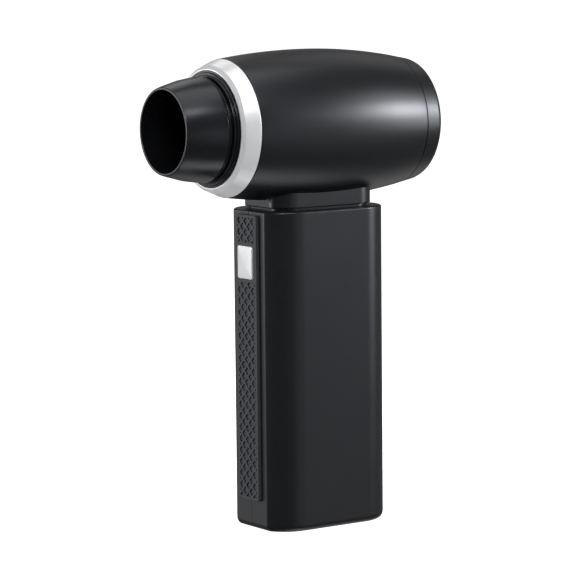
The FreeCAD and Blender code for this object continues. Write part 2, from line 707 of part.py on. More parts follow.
def fan_blade():
    """One twisted blade, lofted from the hub to the tip."""
    sections = []
    for radius, pitch_angle, chord in BLADE_SECTIONS:
        half = chord / 2
        along = Vector(math.cos(math.radians(pitch_angle)), math.sin(math.radians(pitch_angle)), 0)
        across = Vector(-along.y, along.x, 0) * (BLADE_THICKNESS / 2)
        centre = Vector(0, (HUB_FRONT_Y + HUB_REAR_Y) / 2, AXIS_Z + radius)
        front = centre - along * half
        rear = centre + along * half
        points = [front - across, rear - across, rear + across, front + across]
        sections.append(Part.makePolygon(points + points[:1]))
    return Part.makeLoft(sections, True)


def make_impeller():
    """Domed hub with twisted blades, trimmed to the duct."""
    hub = turned(
        (HUB_FRONT_Y, SHAFT_RADIUS),
        (HUB_FRONT_Y, HUB_RADIUS),
        (HUB_REAR_Y - 5.0, HUB_RADIUS, 6.0),
        (HUB_REAR_Y, 5.0, 2.0),
        (HUB_REAR_Y, SHAFT_RADIUS),
    )
    envelope = tube(HUB_RADIUS - 1.5, BLADE_TIP_RADIUS, HUB_FRONT_Y + 0.5, HUB_REAR_Y - 1.0)
    blades = [blade.common(envelope) for blade in around_axis(fan_blade(), BLADE_COUNT)]
    hole = rod(SHAFT_RADIUS, Vector(0, HUB_FRONT_Y - 1, AXIS_Z), Vector(0, HUB_REAR_Y + 1, AXIS_Z))
    return joined([hub] + blades).cut(hole)


def make_impeller_nut():
    """Rounded nut on the shaft's end, which clamps the impeller."""
    crown_y = SHAFT_REAR_Y + NUT_CROWN_HEIGHT
    return turned(
        (HUB_REAR_Y, SHAFT_RADIUS),
        (HUB_REAR_Y, NUT_RADIUS),
        (crown_y, NUT_CROWN_RADIUS, NUT_CROWN_RADIUS / 2),
        (crown_y, 0),
        (SHAFT_REAR_Y, 0),
        (SHAFT_REAR_Y, SHAFT_RADIUS),
    )


# ---------------------------------------------------------------- grip


def grip_wire(inset, z):
    """The grip's section at a height, set in all round: flat front, corner arcs, flat sides and back."""
    half_width = GRIP_HALF_WIDTH - inset
    front_y = GRIP_FRONT_Y + inset
    rear_y = GRIP_REAR_Y - inset
    front_radius = FRONT_CORNER_RADIUS - inset
    rear_radius = REAR_CORNER_RADIUS - inset
    front_x = half_width - front_radius
    rear_x = half_width - rear_radius
    rear_tangent_y = rear_y - rear_radius
    sweep = math.asin((FRONT_TANGENT_Y - front_y) / front_radius)
    crease_x = front_x + front_radius * math.cos(sweep)
    middle_x = front_x + front_radius * math.cos(sweep / 2)
    front_middle = (middle_x, FRONT_TANGENT_Y - front_radius * math.sin(sweep / 2))
    diagonal = rear_radius * math.sqrt(0.5)
    rear_middle = (rear_x + diagonal, rear_tangent_y + diagonal)
    edges = []
    for side in (1, -1):
        arcs = (
            ((crease_x, front_y), front_middle, (half_width, FRONT_TANGENT_Y)),
            ((half_width, rear_tangent_y), rear_middle, (rear_x, rear_y)),
        )
        for arc in arcs:
            edges.append(Part.Arc(*[Vector(side * x, y, z) for x, y in arc]).toShape())
        start = Vector(side * half_width, FRONT_TANGENT_Y, z)
        edges.append(Part.LineSegment(start, Vector(side * half_width, rear_tangent_y, z)).toShape())
    edges.append(Part.LineSegment(Vector(-crease_x, front_y, z), Vector(crease_x, front_y, z)).toShape())
    edges.append(Part.LineSegment(Vector(-rear_x, rear_y, z), Vector(rear_x, rear_y, z)).toShape())
    return Part.Wire(Part.__sortEdges__(edges))


def grip_prism(inset, low_z, high_z):
    return Part.Face(grip_wire(inset, low_z)).extrude(Z_AXIS * (high_z - low_z))


def edges_at(shape, z):
    """The level edges of a shape at one height."""
    level = [edge for edge in shape.Edges if edge.BoundBox.ZLength < TINY]
    return [edge for edge in level if abs(edge.BoundBox.ZMin - z) < TINY]


def crease_edges(shape):
    """The two upright edges beside the flat front face."""
    found = []
    for edge in shape.Edges:
        box = edge.BoundBox
        upright = box.ZLength > box.XLength + box.YLength + 1
        if upright and abs(box.YMin - shape.BoundBox.YMin) < TINY:
            found.append(edge)
    return found


def grip_outside(inset):
    """The closed outside of the grip, edges rounded, optionally set in all round."""
    low_z = inset
    high_z = GRIP_TOP_Z - inset
    body = grip_prism(inset, low_z, high_z)
    body = body.makeFillet(CREASE_RADIUS, crease_edges(body))
    body = body.makeFillet(BASE_EDGE_RADIUS - inset, edges_at(body, low_z))
    if inset < TOP_EDGE_RADIUS:
        body = body.makeFillet(TOP_EDGE_RADIUS - inset, edges_at(body, high_z))
    return body


def plate_outline(margin):
    """The rubber plate's rounded rectangle on the grip's front, grown by a margin."""
    half = PLATE_HALF_WIDTH + margin
    radius = PLATE_CORNER_RADIUS + margin
    low = PLATE_BOTTOM_Z - margin
    high = PLATE_TOP_Z + margin
    return ((-half, low, radius), (half, low, radius), (half, high, radius), (-half, high, radius))


def front_slab(corners, start_y, end_y):
    """An upright outline in (x, z), extruded along Y."""
    wire = rounded_wire(corners, lambda point: Vector(point.x, start_y, point.y))
    return Part.Face(wire).extrude(Y_AXIS * (end_y - start_y))


def button_outline(margin, radius):
    half = BUTTON_HALF_WIDTH + margin
    low = BUTTON_BOTTOM_Z - margin
    high = BUTTON_TOP_Z + margin
    return ((-half, low, radius), (half, low, radius), (half, high, radius), (-half, high, radius))


def make_grip_shells():
    """Both halves of the grip's case, left then right, parted at X = 0."""
    outside = grip_outside(0.0)
    groove_low = (-PARTING_GROOVE, GRIP_FRONT_Y - 1, -1)
    groove = block(groove_low, (PARTING_GROOVE, GRIP_REAR_Y + 1, GRIP_TOP_Z + 1))
    outside = outside.cut(groove.cut(grip_outside(PARTING_DEPTH)))
    case = outside.cut(grip_prism(GRIP_WALL, GRIP_FLOOR, GRIP_TOP_Z - GRIP_WALL))
    ahead_y = GRIP_FRONT_Y - 1
    window = button_outline(BUTTON_GAP, BUTTON_WINDOW_RADIUS)
    case = case.cut(front_slab(plate_outline(SNUG), ahead_y, GRIP_FRONT_Y + PLATE_RECESS))
    case = case.cut(front_slab(window, ahead_y, GRIP_FRONT_Y + WELL_PAST))
    case = case.cut(grip_prism(TENON_INSET - TENON_GAP, GRIP_TOP_Z - WELL_PAST, GRIP_TOP_Z + 1))
    case = case.cut(socket_body(TENON_GAP, WELL_PAST))
    far = GRIP_REAR_Y + WELL_PAST
    left = case.common(block((-far, -far, -1), (0, far, GRIP_TOP_Z + 1)))
    right = case.common(block((0, -far, -1), (far, far, GRIP_TOP_Z + 1)))
    boss_limit = grip_prism(GRIP_WALL / 2, 0, GRIP_TOP_Z)
    head_hole = GRIP_SCREW_HEAD_RADIUS + 0.2
    shank_hole = GRIP_SCREW_RADIUS + 0.37
    thread_hole = GRIP_SCREW_RADIUS + 0.02
    for y, z in GRIP_SCREWS:
        reach = shell_inside_x(y)
        left_boss = rod(head_hole + 0.8, Vector(-reach, y, z), Vector(-SLIM_GAP, y, z))
        right_boss = rod(thread_hole + 1.9, Vector(SLIM_GAP, y, z), Vector(reach, y, z))
        left = left.fuse(left_boss.common(boss_limit))
        right = right.fuse(right_boss.common(boss_limit))
    for y, z in GRIP_SCREWS:
        left = left.cut(rod(shank_hole, Vector(-far, y, z), Vector(1, y, z)))
        left = left.cut(rod(head_hole, Vector(-far, y, z), Vector(-screw_head_x(y), y, z)))
        right = right.cut(rod(thread_hole, Vector(-1, y, z), Vector(GRIP_SCREW_TIP_X + 0.5, y, z)))
    return left.removeSplitter(), right.removeSplitter()


def shell_inside_x(y):
    """Half the width between the outside faces at this y, less half the wall."""
    if y < 0:
        centre_x = GRIP_HALF_WIDTH - FRONT_CORNER_RADIUS
        rise = FRONT_TANGENT_Y - y
        return centre_x + math.sqrt(FRONT_CORNER_RADIUS ** 2 - rise ** 2) - GRIP_WALL / 2
    centre_x = GRIP_HALF_WIDTH - REAR_CORNER_RADIUS
    rise = y - (GRIP_REAR_Y - REAR_CORNER_RADIUS)
    return centre_x + math.sqrt(REAR_CORNER_RADIUS ** 2 - rise ** 2) - GRIP_WALL / 2


def screw_head_x(y):
    """How far left of the parting line a screw's head seats."""
    return shell_inside_x(y) - GRIP_SCREW_SEAT_DEPTH


def make_handle_screws():
    """Four self-tapping screws across the parting line."""
    screws = []
    for y, z in GRIP_SCREWS:
        seat = Vector(-screw_head_x(y), y, z)
        head_end = seat - X_AXIS * GRIP_SCREW_HEAD_HEIGHT
        head = rod(GRIP_SCREW_HEAD_RADIUS, head_end, seat)
        shank = rod(GRIP_SCREW_RADIUS, seat, Vector(GRIP_SCREW_TIP_X, y, z))
        socket = rod(SCREW_SOCKET_RADIUS, head_end - X_AXIS, head_end + X_AXIS * SCREW_SOCKET_DEPTH)
        screws.append(head.fuse(shank).cut(socket))
    return Part.makeCompound(screws)


def make_screw_plugs():
    """Soft plugs that close the screw holes, a little below the surface."""
    outside = grip_outside(EDGE)
    radius = GRIP_SCREW_HEAD_RADIUS + TENON_GAP
    plugs = []
    for y, z in GRIP_SCREWS:
        start_x = screw_head_x(y) + GRIP_SCREW_HEAD_HEIGHT + FINE_EDGE
        bar = rod(radius, Vector(-GRIP_REAR_Y, y, z), Vector(-start_x, y, z))
        plugs.append(bar.common(outside))
    return Part.makeCompound(plugs)


def make_neck_collar():
    """Saddle piece: a flange inside the grip, a set-back tenon, then the neck up to the barrel."""
    flange_low = FLANGE_TOP_Z - TENON_FLANGE_THICKNESS
    below_z = FLANGE_TOP_Z - WELL_PAST
    neck = grip_prism(NECK_INSET, NECK_BOTTOM_Z, AXIS_Z - BARREL_RADIUS + NECK_RISE)
    neck = neck.makeFillet(NECK_EDGE_RADIUS, edges_at(neck, NECK_BOTTOM_Z))
    tenon = grip_prism(TENON_INSET, flange_low, NECK_BOTTOM_Z + SLIM_GAP)
    flange = grip_prism(TENON_FLANGE_INSET, flange_low, FLANGE_TOP_Z)
    body = joined([neck, tenon, flange]).cut(swelling_body(0, 0))
    shank_hole = NECK_SCREW_RADIUS + 0.36
    head_hole = NECK_SCREW_HEAD_RADIUS + 0.2
    for x, y in NECK_SCREWS:
        body = body.cut(rod(shank_hole, Vector(x, y, below_z), Vector(x, y, AXIS_Z)))
        body = body.cut(rod(head_hole, Vector(x, y, below_z), Vector(x, y, FLANGE_TOP_Z)))
    return body.cut(lead_slot(below_z, AXIS_Z))


def make_neck_screws():
    """Four screws up through the neck into the barrel's bosses."""
    tip_z = AXIS_Z - BARREL_RADIUS + BARREL_WALL + NECK_BOSS_HEIGHT - 0.6
    low_z = FLANGE_TOP_Z - NECK_SCREW_HEAD_HEIGHT
    screws = []
    for x, y in NECK_SCREWS:
        head = rod(NECK_SCREW_HEAD_RADIUS, Vector(x, y, low_z), Vector(x, y, FLANGE_TOP_Z))
        shank = rod(NECK_SCREW_RADIUS, Vector(x, y, FLANGE_TOP_Z - SLIM_GAP), Vector(x, y, tip_z))
        socket_top = Vector(x, y, low_z + SCREW_SOCKET_DEPTH)
        socket = rod(SCREW_SOCKET_RADIUS, Vector(x, y, low_z - 1), socket_top)
        screws.append(head.fuse(shank).cut(socket))
    return Part.makeCompound(screws)


def lattice_pockets():
    """Diamond pockets between the plate's crossing ribs, cut square to the face."""
    half_diamond = (LATTICE_PITCH - LATTICE_RIB * math.sqrt(2)) / 2
    limit_x = PLATE_HALF_WIDTH - LATTICE_BORDER
    low_z = PLATE_BOTTOM_Z + LATTICE_BORDER
    high_z = PLATE_TOP_Z - LATTICE_BORDER
    field = block((-limit_x, PLATE_FACE_Y - 1, low_z), (limit_x, PLATE_FACE_Y + LATTICE_DEPTH, high_z))
    frame = button_outline(BUTTON_GAP + LATTICE_BORDER, BUTTON_FLANGE_RADIUS)
    field = field.cut(front_slab(frame, PLATE_FACE_Y - 2, PLATE_FACE_Y + 2))
    half_pitch = LATTICE_PITCH / 2
    last_column = math.ceil(limit_x / half_pitch)
    columns = range(-last_column, last_column + 1)
    rows = range(int((high_z - low_z) / LATTICE_PITCH) + 2)
    pockets = []
    for column in columns:
        for row in rows:
            x = column * half_pitch
            z = low_z + row * LATTICE_PITCH + (column % 2) * half_pitch
            centre = Vector(x, PLATE_FACE_Y - EDGE, z)
            sideways = X_AXIS * half_diamond
            upward = Z_AXIS * half_diamond
            points = [centre + sideways, centre + upward, centre - sideways, centre - upward]
            diamond = Part.Face(Part.makePolygon(points + points[:1]))
            pockets.append(diamond.extrude(Y_AXIS * (LATTICE_DEPTH + EDGE)))
    return Part.makeCompound(pockets).common(field)


def make_grip_plate():
    """Rubber plate bonded into the front face, with the lattice and a window for the button."""
    plate = front_slab(plate_outline(0.0), PLATE_FACE_Y, GRIP_FRONT_Y + PLATE_RECESS)
    rim = [edge for edge in plate.Edges if edge.BoundBox.YMax < PLATE_FACE_Y + TINY]
    plate = plate.makeFillet(PLATE_EDGE_RADIUS, rim)
    window = button_outline(BUTTON_GAP, BUTTON_WINDOW_RADIUS)
    plate = plate.cut(front_slab(window, PLATE_FACE_Y - 1, GRIP_FRONT_Y + GRIP_WALL))
    return plate.cut(lattice_pockets())


def make_power_button():
    """Crowned key with a retaining flange behind the case wall that the switch's plunger bears on."""
    half_height = (BUTTON_TOP_Z - BUTTON_BOTTOM_Z) / 2
    key_end_y = BUTTON_FLANGE_Y + SLIM_GAP
    key = front_slab(button_outline(0.0, BUTTON_CORNER_RADIUS), BUTTON_FACE_Y, key_end_y)
    flange_corners = button_outline(BUTTON_FLANGE_MARGIN, BUTTON_FLANGE_RADIUS)
    flange_end_y = BUTTON_FLANGE_Y + BUTTON_FLANGE_THICKNESS
    flange = front_slab(flange_corners, BUTTON_FLANGE_Y, flange_end_y)
    crown_radius = (half_height ** 2 + BUTTON_CROWN ** 2) / (2 * BUTTON_CROWN)
    crown_centre = Vector(0, BUTTON_FACE_Y + crown_radius, BUTTON_MIDDLE_Z)
    crown = rod(crown_radius, crown_centre - X_AXIS * half_height, crown_centre + X_AXIS * half_height)
    return key.common(crown).fuse(flange).removeSplitter()


def make_switch_plunger():
    """Pin between the button and the switch's dome; it travels with the button."""
    flange_rear = BUTTON_FLANGE_Y + BUTTON_FLANGE_THICKNESS
    tip_y = BUTTON_BOARD_Y - 0.4 - BUTTON_TRAVEL
    return rod(PLUNGER_RADIUS, Vector(0, flange_rear, BUTTON_MIDDLE_Z), Vector(0, tip_y, BUTTON_MIDDLE_Z))


def make_button_switch():
    """Tactile switch: a square housing with a well that the plunger moves in."""
    half = SWITCH_HALF_WIDTH
    low = (-half, BUTTON_BOARD_Y - 1.4 - BUTTON_TRAVEL, BUTTON_MIDDLE_Z - half)
    housing = block(low, (half, BUTTON_BOARD_Y, BUTTON_MIDDLE_Z + half))
    ahead = Vector(0, BUTTON_BOARD_Y - WELL_PAST, BUTTON_MIDDLE_Z)
    well = rod(PLUNGER_RADIUS + SLIM_GAP, ahead, Vector(0, BUTTON_BOARD_Y - EDGE, BUTTON_MIDDLE_Z))
    return housing.cut(well)


def make_button_board():
    low = (-BUTTON_BOARD_HALF_WIDTH, BUTTON_BOARD_Y, BUTTON_MIDDLE_Z - BUTTON_BOARD_HALF_HEIGHT)
    rear_y = BUTTON_BOARD_Y + BOARD_THICKNESS
    return block(low, (BUTTON_BOARD_HALF_WIDTH, rear_y, BUTTON_MIDDLE_Z + BUTTON_BOARD_HALF_HEIGHT))


# ---------------------------------------------------------------- electronics and battery


def make_control_board():
    rear_y = CONTROL_BOARD_Y + BOARD_THICKNESS
    half = CONTROL_BOARD_HALF_WIDTH
    return block((-half, CONTROL_BOARD_Y, CONTROL_BOARD_BOTTOM_Z), (half, rear_y, CONTROL_BOARD_TOP_Z))


def make_board_mosfets():
    """Six power transistors in two rows, one pair for each motor phase."""
    half_width = MOSFET_WIDTH / 2
    half_height = MOSFET_HEIGHT / 2
    front_y = CONTROL_BOARD_Y - MOSFET_THICKNESS
    chips = []
    for x in (-MOSFET_SPACING, 0, MOSFET_SPACING):
        for z in MOSFET_ROWS_Z:
            high = (x + half_width, CONTROL_BOARD_Y, z + half_height)
            chips.append(block((x - half_width, front_y, z - half_height), high))
    return Part.makeCompound(chips)


def make_board_capacitors():
    """Two capacitors standing off the board over the battery leads."""
    cans = []
    for x in (-CAPACITOR_X, CAPACITOR_X):
        foot = Vector(x, CONTROL_BOARD_Y, CAPACITOR_Z)
        cans.append(rod(CAPACITOR_RADIUS, foot, foot - Y_AXIS * CAPACITOR_LENGTH))
    return Part.makeCompound(cans)


def make_board_chip():
    half = CHIP_HALF_WIDTH
    rear_y = CONTROL_BOARD_Y + BOARD_THICKNESS
    return block((-half, rear_y, CHIP_Z - half), (half, rear_y + 1.0, CHIP_Z + half))


def cell_places():
    half = CELL_PITCH / 2
    return [(x, y) for x in (-half, half) for y in (-half, half)]


def make_battery_cells():
    cells = []
    for x, y in cell_places():
        can = rod(CELL_RADIUS, Vector(x, y, CELL_BOTTOM_Z), Vector(x, y, CELL_BOTTOM_Z + CELL_LENGTH))
        cells.append(can.makeFillet(CELL_EDGE_RADIUS, edges_at(can, CELL_BOTTOM_Z + CELL_LENGTH)))
    return Part.makeCompound(cells)


def make_battery_trays():
    """The trays under and over the pack, bottom then top; their posts point at each other."""
    cell_top_z = CELL_BOTTOM_Z + CELL_LENGTH
    bottom_z = CELL_BOTTOM_Z - TRAY_CLEARANCE - TRAY_THICKNESS
    bottom = battery_tray(bottom_z, CELL_BOTTOM_Z + TRAY_POST_REACH)
    return bottom, battery_tray(cell_top_z + TRAY_CLEARANCE, cell_top_z - TRAY_POST_REACH)


def battery_tray(plate_low_z, post_end_z):
    """End plate with a contact window over each cell and a post between the four cells."""
    half_x = GRIP_HALF_WIDTH - GRIP_WALL - EDGE
    half_y = CELL_PITCH
    high_z = plate_low_z + TRAY_THICKNESS
    plate = block((-half_x, -half_y, plate_low_z), (half_x, half_y, high_z))
    for x, y in cell_places():
        window = rod(TRAY_WINDOW_RADIUS, Vector(x, y, plate_low_z - 1), Vector(x, y, high_z + 1))
        plate = plate.cut(window)
    post_start = Vector(0, 0, plate_low_z + TRAY_THICKNESS / 2)
    post = rod(TRAY_POST_RADIUS, post_start, Vector(0, 0, post_end_z))
    return plate.fuse(post).removeSplitter()


def make_battery_strips():
    """Nickel strips: pairs joined at the bottom and at the top of the pack."""
    half = CELL_PITCH / 2
    top_z = CELL_BOTTOM_Z + CELL_LENGTH
    low_z = CELL_BOTTOM_Z - STRIP_THICKNESS
    high_z = top_z + STRIP_THICKNESS
    wide = STRIP_WIDTH / 2
    strips = [block((-half - wide, -half - wide, top_z), (-half + wide, half + wide, high_z))]
    for y in (-half, half):
        strips.append(block((-half - wide, y - wide, low_z), (half + wide, y + wide, CELL_BOTTOM_Z)))
        strips.append(block((half - wide, y - wide, top_z), (half + wide, y + wide, high_z)))
    return Part.makeCompound(strips)


def make_battery_pads():
    """Foam pads between the pack and the case, front and rear."""
    cell_edge = CELL_PITCH / 2 + CELL_RADIUS
    pad_edge = cell_edge + PAD_THICKNESS
    front_low = (-FRONT_PAD_HALF_WIDTH, -pad_edge, PAD_BOTTOM_Z)
    front = block(front_low, (FRONT_PAD_HALF_WIDTH, -cell_edge, PAD_TOP_Z))
    rear_low = (-REAR_PAD_HALF_WIDTH, cell_edge, PAD_BOTTOM_Z)
    rear = block(rear_low, (REAR_PAD_HALF_WIDTH, pad_edge, PAD_TOP_Z))
    return Part.makeCompound([front, rear])


def make_charge_board():
    rear_y = CHARGE_BOARD_Y + BOARD_THICKNESS
    half = CHARGE_BOARD_HALF_WIDTH
    return block((-half, CHARGE_BOARD_Y, CHARGE_BOARD_BOTTOM_Z), (half, rear_y, CHARGE_BOARD_TOP_Z))


def socket_body(margin, extra):
    """The charging socket's rounded shell, grown by a margin and lengthened past the case."""
    half_wide = SOCKET_HALF_WIDTH + margin
    half_tall = SOCKET_HALF_HEIGHT + margin
    start_y = CHARGE_BOARD_Y + BOARD_THICKNESS
    radius = half_tall - SNUG
    corners = (
        (-half_wide, SOCKET_Z - half_tall, radius),
        (half_wide, SOCKET_Z - half_tall, radius),
        (half_wide, SOCKET_Z + half_tall, radius),
        (-half_wide, SOCKET_Z + half_tall, radius),
    )
    return front_slab(corners, start_y, GRIP_REAR_Y - EDGE + extra)


def make_usb_c_socket():
    """Charging socket that faces out of the grip's back, with its contact tongue."""
    shell = socket_body(0.0, 0.0)
    well = socket_body(-SOCKET_SHELL, 1.0)
    well.translate(Y_AXIS * 2.0)
    tongue_low = (-TONGUE_HALF_WIDTH, CHARGE_BOARD_Y + 3.0, SOCKET_Z - TONGUE_THICKNESS / 2)
    tongue_high = (TONGUE_HALF_WIDTH, GRIP_REAR_Y - 1.4, SOCKET_Z + TONGUE_THICKNESS / 2)
    return shell.cut(well).fuse(block(tongue_low, tongue_high))


# ---------------------------------------------------------------- leads held inside


def lead(points, radius, bend):
    """A lead through points: straight runs joined by arcs of one bend radius."""
    corners = [Vector(*point) for point in points]
    edges = []
    start = corners[0]
    for before, corner, after in zip(corners, corners[1:], corners[2:]):
        back = (before - corner).normalize()
        ahead = (after - corner).normalize()
        half_angle = back.getAngle(ahead) / 2
        reach = bend / math.tan(half_angle)
        arc_start = corner + back * reach
        arc_end = corner + ahead * reach
        middle = corner + (back + ahead).normalize() * (bend / math.sin(half_angle) - bend)
        edges.append(Part.LineSegment(start, arc_start).toShape())
        edges.append(Part.Arc(arc_start, middle, arc_end).toShape())
        start = arc_end
    edges.append(Part.LineSegment(start, corners[-1]).toShape())
    path = Part.Wire(edges)
    ring = Part.Wire(Part.makeCircle(radius, corners[0], corners[1] - corners[0]))
    return path.makePipeShell([ring], True, False)


def make_motor_leads():
    """Three phase leads, straight from the control board up through the neck and the thick vane."""
    bottom = CONTROL_BOARD_TOP_Z
    top = AXIS_Z - STATOR_RADIUS
    leads = []
    for index in (-1, 0, 1):
        x = index * MOTOR_LEAD_SPACING
        leads.append(rod(LEAD_RADIUS, Vector(x, MOTOR_LEAD_Y, bottom), Vector(x, MOTOR_LEAD_Y, top)))
    return Part.makeCompound(leads)


def make_battery_leads():
    """The pack's two supply leads, up from the open strips to the control board's lower edge."""
    top_z = CELL_BOTTOM_Z + CELL_LENGTH + STRIP_THICKNESS
    half = CELL_PITCH / 2
    board_y = CONTROL_BOARD_Y + BOARD_THICKNESS / 2
    middle_z = (top_z + TRAY_THICKNESS + CONTROL_BOARD_BOTTOM_Z) / 2
    leads = []
    for start_y, end_x in ((-half, half - 3.0), (half, half + 3.0)):
        path = ((half, start_y, top_z), (half, start_y, middle_z), (end_x, board_y, middle_z))
        path += ((end_x, board_y, CONTROL_BOARD_BOTTOM_Z),)
        leads.append(lead(path, BATTERY_LEAD_RADIUS, BATTERY_LEAD_BEND))
    return Part.makeCompound(leads)


def make_button_leads():
    """Two thin leads straight back from the button's board to the control board."""
    start_y = BUTTON_BOARD_Y + BOARD_THICKNESS
    leads = []
    for x in (-BUTTON_LEAD_X, BUTTON_LEAD_X):
        start = Vector(x, start_y, BUTTON_LEAD_Z)
        leads.append(rod(SIGNAL_LEAD_RADIUS, start, Vector(x, CONTROL_BOARD_Y, BUTTON_LEAD_Z)))
    return Part.makeCompound(leads)


def make_charge_leads():
    """Two leads from the charging board up and forward to the control board's back."""
    board_y = CHARGE_BOARD_Y + BOARD_THICKNESS / 2
    rear_y = CONTROL_BOARD_Y + BOARD_THICKNESS
    leads = []
    for x in (-CHARGE_LEAD_X, CHARGE_LEAD_X):
        bend_point = (x, board_y, CHARGE_LEAD_TOP_Z)
        path = ((x, board_y, CHARGE_BOARD_TOP_Z), bend_point, (x, rear_y, CHARGE_LEAD_TOP_Z))
        leads.append(lead(path, CHARGE_LEAD_RADIUS, CHARGE_LEAD_BEND))
    return Part.makeCompound(leads)


# ---------------------------------------------------------------- all parts


def build():
    os.makedirs("parts", exist_ok=True)
    left, right = make_grip_shells()
    tray_bottom, tray_top = make_battery_trays()
    nodes = {
        "barrel_shell": make_barrel_shell(),
        "trim_ring": make_trim_ring(),
        "nozzle_collar": make_nozzle_collar(),
        "nozzle": make_nozzle(),
        "nozzle_seal": make_nozzle_seal(),
        "rear_cap": make_rear_cap(),
        "intake_grille": make_intake_grille(),
        "fan_duct": make_fan_duct(),
        "stator_vanes": make_stator_vanes(),
        "motor_pod": make_motor_pod(),
        "tail_cone": make_tail_cone(),
        "damping_rings": make_damping_rings(),
        "motor_mount": make_motor_mount(),
        "motor_bearings": make_motor_bearings(),
        "motor_screws": make_motor_screws(),
        "stator_core": make_stator_core(),
        "stator_windings": make_stator_windings(),
        "rotor_bell": make_rotor_bell(),
        "rotor_magnets": make_rotor_magnets(),
        "motor_shaft": make_motor_shaft(),
        "impeller": make_impeller(),
        "impeller_nut": make_impeller_nut(),
        "handle_shell_left": left,
        "handle_shell_right": right,
        "handle_screws": make_handle_screws(),
        "screw_plugs": make_screw_plugs(),
        "neck_collar": make_neck_collar(),
        "neck_screws": make_neck_screws(),
        "grip_plate": make_grip_plate(),
        "power_button": make_power_button(),
        "switch_plunger": make_switch_plunger(),
        "button_switch": make_button_switch(),
        "button_board": make_button_board(),
        "control_board": make_control_board(),
        "board_mosfets": make_board_mosfets(),
        "board_capacitors": make_board_capacitors(),
        "board_chip": make_board_chip(),
        "battery_cells": make_battery_cells(),
        "battery_tray_bottom": tray_bottom,
        "battery_tray_top": tray_top,
        "battery_strips": make_battery_strips(),
        "battery_pads": make_battery_pads(),
        "charge_board": make_charge_board(),
        "usb_c_socket": make_usb_c_socket(),
        "motor_leads": make_motor_leads(),
        "battery_leads": make_battery_leads(),
        "button_leads": make_button_leads(),
        "charge_leads": make_charge_leads(),
    }
    for name, shape in nodes.items():
        save(name, shape)


build()
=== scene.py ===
import json
import math

import bmesh
import bpy
from mathutils import Matrix, Vector


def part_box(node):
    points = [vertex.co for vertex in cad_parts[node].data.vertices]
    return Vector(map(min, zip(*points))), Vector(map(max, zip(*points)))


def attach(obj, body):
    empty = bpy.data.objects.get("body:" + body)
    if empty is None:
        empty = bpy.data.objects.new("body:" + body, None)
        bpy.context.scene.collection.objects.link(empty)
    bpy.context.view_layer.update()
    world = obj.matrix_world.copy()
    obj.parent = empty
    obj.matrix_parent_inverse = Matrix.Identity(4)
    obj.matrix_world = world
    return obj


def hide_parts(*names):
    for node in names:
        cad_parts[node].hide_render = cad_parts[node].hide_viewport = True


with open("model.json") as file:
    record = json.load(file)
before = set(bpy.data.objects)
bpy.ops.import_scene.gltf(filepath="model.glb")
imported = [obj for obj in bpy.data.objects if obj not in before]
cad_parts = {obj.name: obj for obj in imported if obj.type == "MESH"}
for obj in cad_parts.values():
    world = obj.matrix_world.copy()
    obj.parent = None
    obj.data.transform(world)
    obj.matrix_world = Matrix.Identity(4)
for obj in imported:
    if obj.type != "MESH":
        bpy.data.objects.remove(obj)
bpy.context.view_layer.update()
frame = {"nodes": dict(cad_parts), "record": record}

# Metres, +Z up, the nozzle along -Y. Sizes written in millimetres are multiplied by MM.
MM = 0.001

# ---------------------------------------------------------------- places read from the frame

BARREL_LOW, BARREL_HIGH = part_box("barrel_shell")
TRIM_LOW, TRIM_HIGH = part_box("trim_ring")
COLLAR_LOW, COLLAR_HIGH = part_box("nozzle_collar")
NOZZLE_LOW, NOZZLE_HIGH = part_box("nozzle")
CAP_LOW, CAP_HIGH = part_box("rear_cap")
SHELL_LOW, SHELL_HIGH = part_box("handle_shell_right")
BUTTON_LOW, BUTTON_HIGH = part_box("power_button")
SOCKET_LOW, SOCKET_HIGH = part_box("usb_c_socket")

BARREL_RADIUS = BARREL_HIGH.x
AXIS_Z = BARREL_HIGH.z - BARREL_RADIUS
BARREL_FRONT_Y = BARREL_LOW.y
BARREL_REAR_Y = BARREL_HIGH.y
BARREL_FRONT_RADIUS = TRIM_HIGH.x
GRIP_HALF_WIDTH = SHELL_HIGH.x
GRIP_FRONT_Y = SHELL_LOW.y
GRIP_REAR_Y = SHELL_HIGH.y
GRIP_TOP_Z = SHELL_HIGH.z

# ---------------------------------------------------------------- sizes of the looks

LATHE_STEPS = 240
EDGE_STEPS = 8
SMALL_EDGE_STEPS = 4
ROD_STEPS = 48
BARREL_WIDEST_Y = -2.3 * MM
BARREL_REAR_RADIUS = 28.4 * MM
BARREL_WALL = 2.2 * MM
BARREL_EDGE = 0.18 * MM
SEAM_GAP = 0.35 * MM
FIT_GAP = 0.05 * MM

TRIM_FRONT_RADIUS = 25.5 * MM
TRIM_STEP_RADIUS = 26.95 * MM
TRIM_NARROW_BEVEL = 1.3 * MM
TRIM_BORE_RADIUS = 24.95 * MM
TRIM_REAR_GAP = 0.12 * MM

COLLAR_FACE_RADIUS = 23.1 * MM
COLLAR_STEP_RADIUS = 24.1 * MM
COLLAR_STEP_DEPTH = 0.9 * MM
COLLAR_EDGE_DEPTH = 1.7 * MM
COLLAR_FLANGE_REACH = 4.1 * MM
COLLAR_MOUTH_LENGTH = 1.3 * MM
COLLAR_CLEARANCE = 0.1 * MM
NOZZLE_END_GAP = 0.4 * MM

NOZZLE_BORE_RADIUS = 17.5 * MM
NOZZLE_MOUTH_LENGTH = 8.0 * MM
NOZZLE_FRONT_RADIUS = 18.6 * MM

